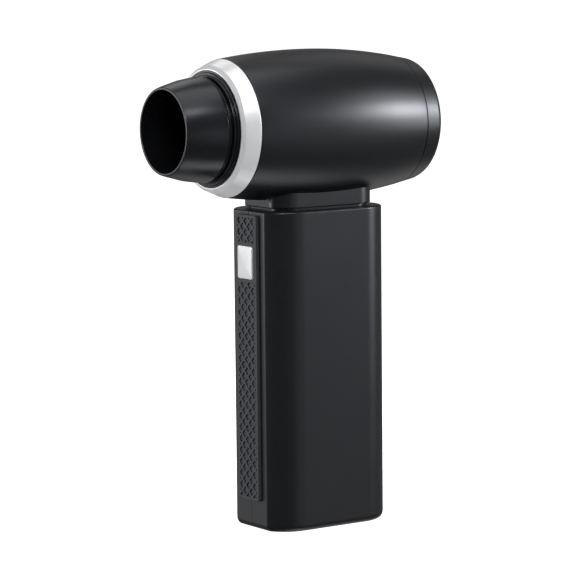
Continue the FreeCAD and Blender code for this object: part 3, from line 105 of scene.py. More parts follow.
# Places on the nozzle's outside as (y, radius), the bulge with its rounding.
NOZZLE_BULGE = (-64.6 * MM, 21.8 * MM, 70.0 * MM)
NOZZLE_EDGE = (-55.8 * MM, 22.6 * MM)
NOZZLE_GROOVE = (-55.6 * MM, 21.8 * MM)
NOZZLE_BEAD = (-55.0 * MM, 22.2 * MM)
NOZZLE_BEAD_WIDTH = 0.7 * MM
SEAL_GROOVE_Y = -50.0 * MM
SEAL_GROOVE_WIDTH = 1.5 * MM
SEAL_GROOVE_DEPTH = 0.7 * MM
SPIGOT_RADIUS = 20.55 * MM
SPIGOT_BORE_RADIUS = 19.0 * MM
SPIGOT_SHOULDER = 0.7 * MM

CAP_RIM_RADIUS = 26.9 * MM
CAP_RIM_DEPTH = 1.6 * MM
CAP_SEAT_DEPTH = 3.8 * MM
CAP_BORE_RADIUS = 25.4 * MM
DUCT_BORE_RADIUS = 24.6 * MM

GRIP_WALL = 2.0 * MM
GRIP_FLOOR = 2.2 * MM
FRONT_CORNER_RADIUS = 16.7 * MM
FRONT_TANGENT_Y = -16.55 * MM
REAR_CORNER_RADIUS = 15.2 * MM
CREASE_RADIUS = 2.0 * MM
BASE_EDGE_RADIUS = 3.2 * MM
TOP_EDGE_RADIUS = 0.9 * MM
PARTING_GAP = 0.12 * MM
PARTING_DEPTH = 0.35 * MM
SCREW_HOLE_RADIUS = 2.6 * MM
SCREW_HOLE_X = (-30 * MM, -12 * MM)
PLUG_SPREAD = 6 * MM
TENON_INSET = 6.6 * MM
TENON_GAP = 0.15 * MM
TENON_DEPTH = 1.0 * MM
NECK_INSET = 4.85 * MM
NECK_BOTTOM_Z = 139.5 * MM
NECK_CREASE_RADIUS = 6.0 * MM
NECK_EDGE_RADIUS = 0.5 * MM
NECK_SINK = 1.0 * MM

BUTTON_MIDDLE_Z = (BUTTON_LOW.z + BUTTON_HIGH.z) / 2
BUTTON_HALF_WIDTH = 5.35 * MM
BUTTON_HALF_HEIGHT = 7.1 * MM
BUTTON_CORNER = 0.8 * MM
BUTTON_CROWN = 0.25 * MM
BUTTON_EDGE = 0.3 * MM
BUTTON_GAP = 0.25 * MM
BUTTON_WINDOW_CORNER = 1.2 * MM
FLANGE_CORNER = 1.5 * MM
FLANGE_THICKNESS = 1.0 * MM
SOCKET_GAP = 0.15 * MM
WINDOW_REACH = 4 * MM

# ---------------------------------------------------------------- camera

CAMERA_PLACE = Vector((1.04237, -0.73460, 0.25754))
CAMERA_AZIMUTH = 55.205
CAMERA_ELEVATION = 6.964
CAMERA_ROLL = math.radians(-0.554)
CAMERA_LENS = 183.08
SENSOR = 36.0


def direction(azimuth, elevation):
    """Unit vector from angles in degrees; azimuth 0 is in front of the nozzle, 90 is on the right side."""
    a, e = math.radians(azimuth), math.radians(elevation)
    return Vector((math.sin(a) * math.cos(e), -math.cos(a) * math.cos(e), math.sin(e)))


def make_camera():
    """The camera, at the angle and distance from which the object is shown."""
    back = direction(CAMERA_AZIMUTH, CAMERA_ELEVATION)
    level = direction(CAMERA_AZIMUTH + 90, 0)
    upright = back.cross(level)
    right = level * math.cos(CAMERA_ROLL) + upright * math.sin(CAMERA_ROLL)
    up = back.cross(right)
    data = bpy.data.cameras.new("camera")
    data.lens = CAMERA_LENS
    data.sensor_width = SENSOR
    data.clip_start = 0.01
    data.clip_end = 20
    camera = bpy.data.objects.new("camera", data)
    bpy.context.scene.collection.objects.link(camera)
    turn = Matrix((right, up, back)).transposed()
    camera.matrix_world = Matrix.Translation(CAMERA_PLACE) @ turn.to_4x4()
    bpy.context.scene.camera = camera


# ---------------------------------------------------------------- materials


class Shader:
    """One node-based material, with short calls for the nodes that they all share."""

    def __init__(self, name):
        self.material = bpy.data.materials.new(name)
        self.material.use_nodes = True
        self.tree = self.material.node_tree
        self.surface = self.tree.nodes["Principled BSDF"]
        self.place = self.tree.nodes.new("ShaderNodeTexCoord").outputs["Object"]

    def node(self, kind, **settings):
        made = self.tree.nodes.new(kind)
        for key, value in settings.items():
            setattr(made, key, value)
        return made

    def join(self, source, target):
        self.tree.links.new(source, target)

    def noise(self, size, detail=3.0, stretch=None):
        """Noise whose patches are about size metres across, as a value from 0 to 1."""
        source = self.place
        if stretch:
            mapping = self.node("ShaderNodeMapping")
            mapping.inputs["Scale"].default_value = stretch
            self.join(source, mapping.inputs["Vector"])
            source = mapping.outputs["Vector"]
        made = self.node("ShaderNodeTexNoise")
        made.inputs["Scale"].default_value = 1 / size
        made.inputs["Detail"].default_value = detail
        self.join(source, made.inputs["Vector"])
        return made.outputs["Fac"]

    def blend_value(self, factor, low, high, from_low=0.0, from_high=1.0):
        """Maps a value from one range to another, without leaving the second range."""
        made = self.node("ShaderNodeMapRange")
        made.inputs["From Min"].default_value = from_low
        made.inputs["From Max"].default_value = from_high
        made.inputs["To Min"].default_value = low
        made.inputs["To Max"].default_value = high
        self.join(factor, made.inputs["Value"])
        return made.outputs["Result"]

    def math(self, operation, first, second):
        made = self.node("ShaderNodeMath", operation=operation)
        for socket, value in zip(made.inputs, (first, second)):
            if isinstance(value, (int, float)):
                socket.default_value = value
            else:
                self.join(value, socket)
        return made.outputs["Value"]

    def mix_colour(self, factor, first, second):
        made = self.node("ShaderNodeMix", data_type="RGBA")
        for socket, value in zip(made.inputs[6:8], (first, second)):
            if isinstance(value, tuple):
                socket.default_value = (*value, 1)
            else:
                self.join(value, socket)
        self.join(factor, made.inputs[0])
        return made.outputs[2]

    def edge_mask(self, radius):
        """1 along sharp edges and 0 on flat stretches."""
        bevel = self.node("ShaderNodeBevel", samples=4)
        bevel.inputs["Radius"].default_value = radius
        geometry = self.node("ShaderNodeNewGeometry")
        dot = self.node("ShaderNodeVectorMath", operation="DOT_PRODUCT")
        self.join(bevel.outputs["Normal"], dot.inputs[0])
        self.join(geometry.outputs["Normal"], dot.inputs[1])
        return self.blend_value(dot.outputs["Value"], 1.0, 0.0, from_low=0.80, from_high=0.99)

    def bump(self, height, distance):
        made = self.node("ShaderNodeBump")
        made.inputs["Distance"].default_value = distance
        self.join(height, made.inputs["Height"])
        return made.outputs["Normal"]

    def set(self, **values):
        """Constant values for the shader's own sockets, spaces in their names as underscores."""
        for key, value in values.items():
            self.surface.inputs[key.replace("_", " ")].default_value = value


# The tint of every plastic's shine, and what all plastics or all metals share.
COOL_SHEEN = (0.88, 0.92, 1.0, 1.0)
CLOUD_SIZE = 22 * MM
# Painted highlight along plastic edges: the size of the noise that breaks it up, the edge width (also used
# for the edge polish), how much lighter, and a small lift.
HIGHLIGHT_BREAKUP_SIZE = 1.6 * MM
EDGE_HIGHLIGHT_AND_POLISH_WIDTH = 0.5 * MM
EDGE_HIGHLIGHT_GAIN = 0.35
EDGE_HIGHLIGHT_LIFT = 0.004
EDGE_POLISH = 0.07
PATCH_SIZE = 9 * MM
GRAIN_CONTRAST = 0.06


def plastic(name, colour, roughness, grain, depth, specular=0.5):
    """Moulded plastic: a fine spark-eroded grain, faint flow clouding, slightly polished edges, and a
    painted highlight that lightens the edges' colour in patches.
    """
    s = Shader(name)
    # A lighter copy of the colour, painted along edges as a highlight.
    edge_highlight_colour = tuple(c * (1 + EDGE_HIGHLIGHT_GAIN) + EDGE_HIGHLIGHT_LIFT for c in colour)
    darker = tuple(c * 0.86 for c in colour)
    clouds = s.noise(CLOUD_SIZE, 2.0)
    edges = s.edge_mask(EDGE_HIGHLIGHT_AND_POLISH_WIDTH)
    # Noise that breaks the painted edge highlight into patches.
    highlight_breakup = s.blend_value(s.noise(HIGHLIGHT_BREAKUP_SIZE, 5.0), 0.2, 1.0, from_low=0.42, from_high=0.66)
    colour_flow = s.mix_colour(clouds, darker, colour)
    # The painted edge highlight mixed over the clouded colour.
    with_painted_highlight = s.mix_colour(s.math("MULTIPLY", edges, highlight_breakup), colour_flow, edge_highlight_colour)
    s.join(with_painted_highlight, s.surface.inputs["Base Color"])
    rough_flow = s.blend_value(clouds, roughness - 0.02, roughness + 0.03)
    rough_edge = s.math("MULTIPLY", edges, EDGE_POLISH)
    s.join(s.math("SUBTRACT", rough_flow, rough_edge), s.surface.inputs["Roughness"])
    fine = s.noise(grain, 2.0)
    s.join(s.bump(fine, depth), s.surface.inputs["Normal"])
    s.set(Specular_IOR_Level=specular, Specular_Tint=COOL_SHEEN)
    return s.material


def metal(name, colour, roughness, grain, depth, stretch=(1, 1, 1), metallic=1.0):
    """Metal or metallic paint with a directional grain."""
    s = Shader(name)
    lines = s.noise(grain, 3.0, stretch=stretch)
    patches = s.noise(PATCH_SIZE, 3.0)
    darker = tuple(c * 0.9 for c in colour)
    s.join(s.mix_colour(patches, darker, colour), s.surface.inputs["Base Color"])
    rough_lines = s.blend_value(lines, roughness - GRAIN_CONTRAST, roughness + GRAIN_CONTRAST)
    s.join(rough_lines, s.surface.inputs["Roughness"])
    s.join(s.bump(lines, depth), s.surface.inputs["Normal"])
    s.set(Metallic=metallic)
    return s.material


GRAIN = 0.25 * MM

# Plastics and rubbers: base colour, roughness, grain size, grain depth, specular level.
PLASTICS = {
    "body_black": ((0.0040, 0.0042, 0.0050), 0.33, GRAIN, 0.006 * MM, 0.36),
    "nozzle_black": ((0.0034, 0.0036, 0.0044), 0.27, GRAIN, 0.004 * MM, 0.34),
    "grip_rubber": ((0.0225, 0.0235, 0.026), 0.62, 0.2 * MM, 0.010 * MM, 0.36),
    "seal_rubber": ((0.015, 0.015, 0.015), 0.6, GRAIN, 0.006 * MM),
    "foam": ((0.04, 0.04, 0.04), 0.9, 0.5 * MM, 0.08 * MM, 0.2),
    "inner_plastic": ((0.014, 0.014, 0.015), 0.45, GRAIN, 0.006 * MM),
    "fan_plastic": ((0.035, 0.035, 0.038), 0.42, GRAIN, 0.006 * MM),
    "lead_red": ((0.42, 0.02, 0.015), 0.45, GRAIN, 0.004 * MM),
    "lead_black": ((0.02, 0.02, 0.02), 0.45, GRAIN, 0.004 * MM),
    "board_green": ((0.01, 0.11, 0.045), 0.25, 0.8 * MM, 0.01 * MM),
    "chip_black": ((0.02, 0.02, 0.02), 0.5, 0.15 * MM, 0.01 * MM),
    "cell_wrap": ((0.03, 0.16, 0.42), 0.28, 2 * MM, 0.02 * MM),
}

# Metals and metallic paints: base colour, roughness, grain size and depth, grain stretch, metallic.
METALS = {
    "silver_trim": ((0.63, 0.635, 0.645), 0.30, 0.35 * MM, 0.003 * MM, (1, 1, 1), 0.45),
    "silver_button": ((0.50, 0.505, 0.51), 0.36, 0.3 * MM, 0.003 * MM, (1, 1, 1), 0.45),
    "alloy": ((0.76, 0.76, 0.77), 0.32, 0.3 * MM, 0.004 * MM, (1, 8, 1)),
    "steel": ((0.55, 0.55, 0.56), 0.28, 0.2 * MM, 0.003 * MM, (1, 6, 1)),
    "magnet": ((0.42, 0.42, 0.43), 0.25, 0.3 * MM, 0.002 * MM),
    "lamination": ((0.16, 0.17, 0.20), 0.45, 0.35 * MM, 0.02 * MM, (0.02, 1, 0.02)),
    "copper": ((0.72, 0.32, 0.14), 0.35, 0.3 * MM, 0.05 * MM, (0.1, 0.1, 2)),
    "can_silver": ((0.7, 0.7, 0.72), 0.28, 0.3 * MM, 0.003 * MM, (1, 6, 1)),
    "nickel": ((0.62, 0.61, 0.57), 0.3, 0.3 * MM, 0.003 * MM, (6, 1, 1)),
}

SLOT_MATERIALS = {}


def slot_material(slot):
    """The finish of a record's material slot, made once."""
    if slot not in SLOT_MATERIALS:
        make, rows = (plastic, PLASTICS) if slot in PLASTICS else (metal, METALS)
        SLOT_MATERIALS[slot] = make(slot, *rows[slot])
    return SLOT_MATERIALS[slot]


def finish_cad_nodes():
    """Every CAD node gets the finish of its slot; its shading stays as packed."""
    slots = {row["node"]: row["material_slot"] for row in frame["record"]["subparts"]}
    for name, node in frame["nodes"].items():
        material = slot_material(slots[name])
        node.data.materials.clear()
        node.data.materials.append(material)


SOFT_EDGE_ANGLE = math.radians(35)


def soften(node_name, width):
    """Small rounded edges on a CAD node, so that they catch the light like moulded ones."""
    node = frame["nodes"][node_name]
    bevel = node.modifiers.new("soft_edges", "BEVEL")
    bevel.width = width
    bevel.segments = 2
    bevel.limit_method = "ANGLE"
    bevel.angle_limit = SOFT_EDGE_ANGLE
    weighted = node.modifiers.new("even_normals", "WEIGHTED_NORMAL")
    weighted.keep_sharp = True


# ---------------------------------------------------------------- mesh helpers


def piece_from(mesh_build, name, slot, body, *replaced):
    """Turns a finished bmesh into a piece that rides on a body and stands for CAD nodes."""
    bmesh.ops.recalc_face_normals(mesh_build, faces=mesh_build.faces)
    mesh = bpy.data.meshes.new(name)
    mesh_build.to_mesh(mesh)
    mesh_build.free()
    piece_of_mesh(mesh, name, slot, body, *replaced)


def piece_of_mesh(mesh, name, slot, body, *replaced):
    """Turns mesh data into a smooth-shaded piece that rides on a body and stands for CAD nodes."""
    mesh.polygons.foreach_set("use_smooth", [True] * len(mesh.polygons))
    mark_sharp(mesh)
    piece = bpy.data.objects.new(name, mesh)
    bpy.context.scene.collection.objects.link(piece)
    piece.data.materials.append(slot_material(slot))
    weighted = piece.modifiers.new("even_normals", "WEIGHTED_NORMAL")
    weighted.keep_sharp = True
    weighted.weight = 60
    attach(piece, body)
    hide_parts(*replaced)


SHARP_ANGLE = math.radians(38)


def mark_sharp(mesh):
    """Marks edges that turn by more than the sharp angle, so smooth shading stops there."""
    build = bmesh.new()
    build.from_mesh(mesh)
    for edge in build.edges:
        if len(edge.link_faces) == 2:
            edge.smooth = edge.calc_face_angle(0) < SHARP_ANGLE
    build.to_mesh(mesh)
    build.free()


ARC_STEP = math.radians(12)


def rounded_profile(corners):
    """Points of a closed outline from (a, b) or (a, b, rounding) corners, round corners as arcs."""
    full = [Vector((c[0], c[1])) for c in corners]
    radii = [c[2] if len(c) > 2 else 0 for c in corners]
    points = []
    for index, corner in enumerate(full):
        radius = radii[index]
        if not radius:
            points.append(corner)
            continue
        back = (full[index - 1] - corner).normalized()
        ahead = (full[(index + 1) % len(full)] - corner).normalized()
        half_angle = back.angle(ahead) / 2
        reach = radius / math.tan(half_angle)
        centre = corner + (back + ahead).normalized() * (radius / math.sin(half_angle))
        start = corner + back * reach - centre
        end = corner + ahead * reach - centre
        turn = start.angle_signed(end)
        count = max(2, math.ceil(abs(turn) / ARC_STEP))
        for number in range(count + 1):
            points.append(centre + Matrix.Rotation(-turn * number / count, 2) @ start)
    return points


def lathe(profile):
    """A closed body turned about the fan's axis from (y, radius) points."""
    build = bmesh.new()
    rings = []
    for number in range(LATHE_STEPS):
        angle = 2 * math.pi * number / LATHE_STEPS
        sine, cosine = math.sin(angle), math.cos(angle)
        rings.append([build.verts.new((p[1] * sine, p[0], AXIS_Z + p[1] * cosine)) for p in profile])
    for number in range(LATHE_STEPS):
        here, following = rings[number], rings[(number + 1) % LATHE_STEPS]
        for index in range(len(profile)):
            after = (index + 1) % len(profile)
            build.faces.new((here[index], here[after], following[after], following[index]))
    return build


def turned_piece(name, slot, body, corners, *replaced):
    """A piece turned about the fan's axis from (y, radius) or (y, radius, rounding) corners."""
    piece_from(lathe(rounded_profile(corners)), name, slot, body, *replaced)


# ---------------------------------------------------------------- head


def swell(radius, end_y, end_radius, count):
    """Points along the arc from the barrel's widest place to one end."""
    run = end_y - BARREL_WIDEST_Y
    drop = radius - end_radius
    bend = (run * run + drop * drop) / (2 * drop)
    whole = math.asin(run / bend)
    points = []
    for number in range(count + 1):
        angle = whole * number / count
        y = BARREL_WIDEST_Y + bend * math.sin(angle)
        points.append(Vector((y, radius - bend * (1 - math.cos(angle)))))
    return points


def make_barrel():
    """The swelling tube, with small rounded edges at the silver ring and at the rear seam."""
    inner_radius = BARREL_RADIUS - BARREL_WALL
    outer_front = swell(BARREL_RADIUS, BARREL_FRONT_Y, BARREL_FRONT_RADIUS, 24)
    outer_rear = swell(BARREL_RADIUS, BARREL_REAR_Y, BARREL_REAR_RADIUS, 24)
    inner_front = swell(inner_radius, BARREL_FRONT_Y, BARREL_FRONT_RADIUS - BARREL_WALL, 10)
    inner_rear = swell(inner_radius, BARREL_REAR_Y, BARREL_REAR_RADIUS - BARREL_WALL, 10)
    front_end = outer_front.pop()
    rear_end = outer_rear.pop()
    edge = BARREL_EDGE
    turn = edge * 0.3
    profile = list(reversed(outer_front))[:-1] + outer_rear
    profile += [rear_end + Vector(step) for step in ((-edge, 0), (-turn, -turn), (0, -edge))]
    profile += list(reversed(inner_rear))[:-1] + inner_front
    profile += [front_end + Vector(step) for step in ((0, -edge), (turn, -turn), (edge, 0))]
    piece_from(lathe(profile), "barrel_tube", "body_black", "housing", "barrel_shell")


def make_trim():
    """Silver ring with a narrow and a wide bevel, and a spigot inside the barrel."""
    spigot = BARREL_FRONT_RADIUS - BARREL_WALL - FIT_GAP
    step_y = TRIM_LOW.y + TRIM_NARROW_BEVEL
    rear_y = BARREL_FRONT_Y - TRIM_REAR_GAP
    turned_piece("silver_ring", "silver_trim", "housing", (
        (TRIM_LOW.y, TRIM_BORE_RADIUS, 0.1 * MM),
        (TRIM_LOW.y, TRIM_FRONT_RADIUS, 0.15 * MM),
        (step_y, TRIM_STEP_RADIUS, 0.3 * MM),
        (rear_y, BARREL_FRONT_RADIUS - 0.02 * MM, 0.35 * MM),
        (rear_y, spigot),
        (TRIM_HIGH.y, spigot),
        (TRIM_HIGH.y, TRIM_BORE_RADIUS),
    ), "trim_ring")


def make_collar():
    """Stepped black ring between the nozzle and the silver ring, with the funnel behind it."""
    face = COLLAR_LOW.y
    step_y = face + COLLAR_STEP_DEPTH
    edge_y = face + COLLAR_EDGE_DEPTH
    flange_y = BARREL_FRONT_Y + COLLAR_FLANGE_REACH
    stop_y = NOZZLE_HIGH.y + NOZZLE_END_GAP
    outer = TRIM_BORE_RADIUS - FIT_GAP
    bore = SPIGOT_RADIUS + COLLAR_CLEARANCE
    turned_piece("stepped_collar", "nozzle_black", "housing", (
        (face, bore),
        (face, COLLAR_FACE_RADIUS, 0.45 * MM),
        (step_y, COLLAR_FACE_RADIUS, 0.1 * MM),
        (step_y, COLLAR_STEP_RADIUS, 0.4 * MM),
        (edge_y, COLLAR_STEP_RADIUS, 0.1 * MM),
        (edge_y, outer, 0.15 * MM),
        (flange_y, outer),
        (flange_y, COLLAR_HIGH.x),
        (COLLAR_HIGH.y, COLLAR_HIGH.x),
        (COLLAR_HIGH.y, DUCT_BORE_RADIUS),
        (COLLAR_HIGH.y - COLLAR_MOUTH_LENGTH, DUCT_BORE_RADIUS, 4.0 * MM),
        (NOZZLE_HIGH.y + 1.0 * MM, SPIGOT_BORE_RADIUS, 2.0 * MM),
        (stop_y, SPIGOT_BORE_RADIUS),
        (stop_y, bore),
    ), "nozzle_collar")


def make_nozzle():
    """Bulging cone with an edge and a fine bead at its foot, and the spigot that goes into the collar."""
    front, foot = NOZZLE_LOW.y, COLLAR_LOW.y
    shoulder = SPIGOT_RADIUS + SPIGOT_SHOULDER
    groove = SPIGOT_RADIUS - SEAL_GROOVE_DEPTH
    bead_end_y = NOZZLE_BEAD[0] + NOZZLE_BEAD_WIDTH
    groove_end_y = SEAL_GROOVE_Y + SEAL_GROOVE_WIDTH
    turned_piece("blow_nozzle", "nozzle_black", "nozzle", (
        (front, NOZZLE_BORE_RADIUS, 0.25 * MM),
        (front, NOZZLE_FRONT_RADIUS, 0.45 * MM),
        NOZZLE_BULGE,
        (*NOZZLE_EDGE, 0.35 * MM),
        NOZZLE_GROOVE,
        (NOZZLE_BEAD[0], NOZZLE_GROOVE[1]),
        (*NOZZLE_BEAD, 0.34 * MM),
        (bead_end_y, NOZZLE_BEAD[1], 0.34 * MM),
        (bead_end_y, shoulder),
        (foot, shoulder),
        (foot, SPIGOT_RADIUS),
        (SEAL_GROOVE_Y, SPIGOT_RADIUS),
        (SEAL_GROOVE_Y, groove),
        (groove_end_y, groove),
        (groove_end_y, SPIGOT_RADIUS),
        (NOZZLE_HIGH.y, SPIGOT_RADIUS, 0.3 * MM),
        (NOZZLE_HIGH.y, SPIGOT_BORE_RADIUS, 0.3 * MM),
        (NOZZLE_BEAD[0], SPIGOT_BORE_RADIUS, 20.0 * MM),
        (front + NOZZLE_MOUTH_LENGTH, NOZZLE_BORE_RADIUS, 10.0 * MM),
    ), "nozzle")


def make_rear_cap():
    """Rear ring behind the seam, with a rounded rim and a seat for the grille."""
    seam_y = BARREL_REAR_Y + SEAM_GAP
    root_y = BARREL_REAR_Y - 0.3 * MM
    seat_y = CAP_HIGH.y - CAP_SEAT_DEPTH
    spigot = BARREL_REAR_RADIUS - BARREL_WALL - FIT_GAP
    groove = spigot - 0.4 * MM
    turned_piece("rear_ring", "body_black", "housing", (
        (seam_y, BARREL_REAR_RADIUS - 0.12 * MM, 0.2 * MM),
        (CAP_HIGH.y - CAP_RIM_DEPTH, CAP_RIM_RADIUS + 0.05 * MM, 3.0 * MM),
        (CAP_HIGH.y, CAP_RIM_RADIUS - 0.7 * MM, 1.0 * MM),
        (CAP_HIGH.y, CAP_BORE_RADIUS, 0.3 * MM),
        (seat_y, CAP_BORE_RADIUS),
        (seat_y, DUCT_BORE_RADIUS, 0.5 * MM),
        (CAP_LOW.y, DUCT_BORE_RADIUS),
        (CAP_LOW.y, spigot),
        (root_y, spigot),
        (root_y, groove),
        (seam_y, groove),
    ), "rear_cap")


# ---------------------------------------------------------------- grip


def arc(centre, radius, start, end, count):
    """Points of an arc between two angles, both ends included."""
    points = []
    for number in range(count + 1):
        angle = start + (end - start) * number / count
        points.append((centre[0] + radius * math.cos(angle), centre[1] + radius * math.sin(angle)))
    return points


def half_section(inset, groove=False, crease_radius=CREASE_RADIUS):
    """The right half of the grip's section from the front's middle to the back's, set in all round.

    Flat front, small crease, large front corner, flat side, rear corner and flat back.
    """
    half_width = GRIP_HALF_WIDTH - inset
    front_y = GRIP_FRONT_Y + inset
    rear_y = GRIP_REAR_Y - inset
    front_radius = FRONT_CORNER_RADIUS - inset
    rear_radius = REAR_CORNER_RADIUS - inset
    crease = max(crease_radius - inset, 0.2 * MM)
    centre_x = half_width - front_radius
    crease_y = front_y + crease
    rise = FRONT_TANGENT_Y - crease_y
    reach = front_radius - crease
    crease_x = centre_x + math.sqrt(reach * reach - rise * rise)
    crease_angle = math.atan2(crease_y - FRONT_TANGENT_Y, crease_x - centre_x)
    sunk = PARTING_DEPTH if groove else 0
    points = [(0, front_y + sunk), (PARTING_GAP * 0.9, front_y + sunk), (PARTING_GAP, front_y)]
    points += arc((crease_x, crease_y), crease, -math.pi / 2, crease_angle, 6)
    points += arc((centre_x, FRONT_TANGENT_Y), front_radius, crease_angle, 0, 30)[1:]
    rear_centre = (half_width - rear_radius, rear_y - rear_radius)
    points += arc(rear_centre, rear_radius, 0, math.pi / 2, 30)
    points += [(PARTING_GAP, rear_y), (PARTING_GAP * 0.9, rear_y - sunk), (0, rear_y - sunk)]
    return points


def add_loop(build, inset, z, side, groove):
    """Vertices of half the grip's section at one height, on the right (1) or the left (-1)."""
    return [build.verts.new((side * x, y, z)) for x, y in half_section(inset, groove)]


def bridge(build, lower, upper):
    """Faces between two open loops of the same length."""
    for index in range(len(lower) - 1):
        build.faces.new((lower[index], lower[index + 1], upper[index + 1], upper[index]))


def bridge_ring(build, lower, upper):
    """Faces between two closed loops of the same length."""
    for index in range(len(lower)):
        after = (index + 1) % len(lower)
        build.faces.new((lower[index], lower[after], upper[after], upper[index]))


def half_shell(side):
    """One hollow half of the grip's case, closed at the parting plane."""
    build = bmesh.new()
    profile = []
    for number in range(EDGE_STEPS + 1):
        angle = math.pi / 2 * number / EDGE_STEPS
        inset = BASE_EDGE_RADIUS * (1 - math.sin(angle))
        profile.append((inset, BASE_EDGE_RADIUS * (1 - math.cos(angle)), True))
    for number in range(EDGE_STEPS + 1):
        angle = math.pi / 2 * number / EDGE_STEPS
        inset = TOP_EDGE_RADIUS * (1 - math.cos(angle))
        profile.append((inset, GRIP_TOP_Z - TOP_EDGE_RADIUS * (1 - math.sin(angle)), True))
    opening = TENON_INSET - TENON_GAP
    profile.append((opening, GRIP_TOP_Z, False))
    profile.append((opening, GRIP_TOP_Z - GRIP_WALL, False))
    profile.append((GRIP_WALL, GRIP_TOP_Z - GRIP_WALL, False))
    profile.append((GRIP_WALL, GRIP_FLOOR, False))
    loops = [add_loop(build, inset, z, side, groove) for inset, z, groove in profile]
    for lower, upper in zip(loops, loops[1:]):
        bridge(build, lower, upper)
    build.faces.new(loops[0])
    build.faces.new(loops[-1])
    front_edge = [loop[0] for loop in loops]
    rear_edge = [loop[-1] for loop in loops]
    build.faces.new(front_edge + list(reversed(rear_edge)))
    bmesh.ops.recalc_face_normals(build, faces=build.faces)
    return build


def cut_away(build, cutters):
    """Takes closed cutter meshes out of a closed mesh and returns the result as mesh data."""
    mesh = bpy.data.meshes.new("uncut")
    build.to_mesh(mesh)
    build.free()
    body = bpy.data.objects.new("uncut", mesh)
    bpy.context.scene.collection.objects.link(body)
    tools = []
    for cutter in cutters:
        bmesh.ops.recalc_face_normals(cutter, faces=cutter.faces)
        tool_mesh = bpy.data.meshes.new("tool")
        cutter.to_mesh(tool_mesh)
        cutter.free()
        tool = bpy.data.objects.new("tool", tool_mesh)
        bpy.context.scene.collection.objects.link(tool)
        tools.append(tool)
        difference = body.modifiers.new("cut", "BOOLEAN")
        difference.operation = "DIFFERENCE"
        difference.solver = "EXACT"
        difference.object = tool
    bpy.context.view_layer.update()
    graph = bpy.context.evaluated_depsgraph_get()
    result = bpy.data.meshes.new_from_object(body.evaluated_get(graph))
    for used in [body, *tools]:
        bpy.data.objects.remove(used)
    return result


def upright_slab(corners, low_y, high_y):
    """A closed prism along Y from an outline of (x, z) corners with roundings."""
    outline = rounded_profile(corners)
    build = bmesh.new()
    front = [build.verts.new((p.x, low_y, p.y)) for p in outline]
    rear = [build.verts.new((p.x, high_y, p.y)) for p in outline]
    build.faces.new(front)
    build.faces.new(rear)
    bridge_ring(build, front, rear)
    return build


def box_corners(half_width, middle_z, half_height, radius):
    """Corners of a rounded rectangle about x = 0, for rounded_profile."""
    signs = ((-1, -1), (1, -1), (1, 1), (-1, 1))
    return [(sx * half_width, middle_z + sz * half_height, radius) for sx, sz in signs]


def make_button():
    """Push button: crisp outline, rounded edge, slightly crowned face and a flange behind the case wall."""
    flange = (BUTTON_HIGH.x, (BUTTON_HIGH.z - BUTTON_LOW.z) / 2, FLANGE_CORNER)
    key = (BUTTON_HALF_WIDTH, BUTTON_HALF_HEIGHT, BUTTON_CORNER)
    flange_y = BUTTON_HIGH.y - FLANGE_THICKNESS
    levels = [(*flange, BUTTON_HIGH.y, 0.0), (*flange, flange_y, 0.0), (*key, flange_y, 0.0)]
    for number in range(SMALL_EDGE_STEPS + 1):
        angle = math.pi / 2 * number / SMALL_EDGE_STEPS
        inset = BUTTON_EDGE * (1 - math.cos(angle))
        y = BUTTON_LOW.y + BUTTON_EDGE * (1 - math.sin(angle))
        levels.append((*(size - inset for size in key), y, BUTTON_CROWN))
    for scale in (0.8, 0.55, 0.3, 0.1):
        levels.append((*((size - BUTTON_EDGE) * scale for size in key), BUTTON_LOW.y, BUTTON_CROWN))
    build = bmesh.new()
    loops = []
    for half_width, half_height, corner, y, crown in levels:
        loop = []
        for point in rounded_profile(box_corners(half_width, BUTTON_MIDDLE_Z, half_height, corner)):
            dip = crown * ((point.y - BUTTON_MIDDLE_Z) / BUTTON_HALF_HEIGHT) ** 2
            loop.append(build.verts.new((point.x, y + dip, point.y)))
        loops.append(loop)
    for lower, upper in zip(loops, loops[1:]):
        bridge_ring(build, lower, upper)
    build.faces.new(loops[0])
    build.faces.new(loops[-1])
    piece_from(build, "push_button", "silver_button", "button", "power_button")


def button_window():
    """Cutter for the button's opening in the grip's front."""
    half_width = BUTTON_HALF_WIDTH + BUTTON_GAP
    half_height = BUTTON_HALF_HEIGHT + BUTTON_GAP
    corners = box_corners(half_width, BUTTON_MIDDLE_Z, half_height, BUTTON_WINDOW_CORNER)
    return upright_slab(corners, GRIP_FRONT_Y - WINDOW_REACH, GRIP_FRONT_Y + WINDOW_REACH)


def socket_window():
    """Cutter for the charging socket's opening in the grip's back."""
    middle_z = (SOCKET_LOW.z + SOCKET_HIGH.z) / 2
    half_width = SOCKET_HIGH.x + SOCKET_GAP
    half_height = (SOCKET_HIGH.z - SOCKET_LOW.z) / 2 + SOCKET_GAP
    corners = box_corners(half_width, middle_z, half_height, half_height - 0.05 * MM)
    return upright_slab(corners, GRIP_REAR_Y - WINDOW_REACH, GRIP_REAR_Y + WINDOW_REACH)


def cross_rod(radius, start_x, end_x, y, z):
    """A closed round bar along X."""
    build = bmesh.new()
    ends = []
    for x in (start_x, end_x):
        ring = []
        for number in range(ROD_STEPS):
            angle = 2 * math.pi * number / ROD_STEPS
            ring.append(build.verts.new((x, y + radius * math.cos(angle), z + radius * math.sin(angle))))
        ends.append(ring)
        build.faces.new(ring)
    bridge_ring(build, *ends)
    return build


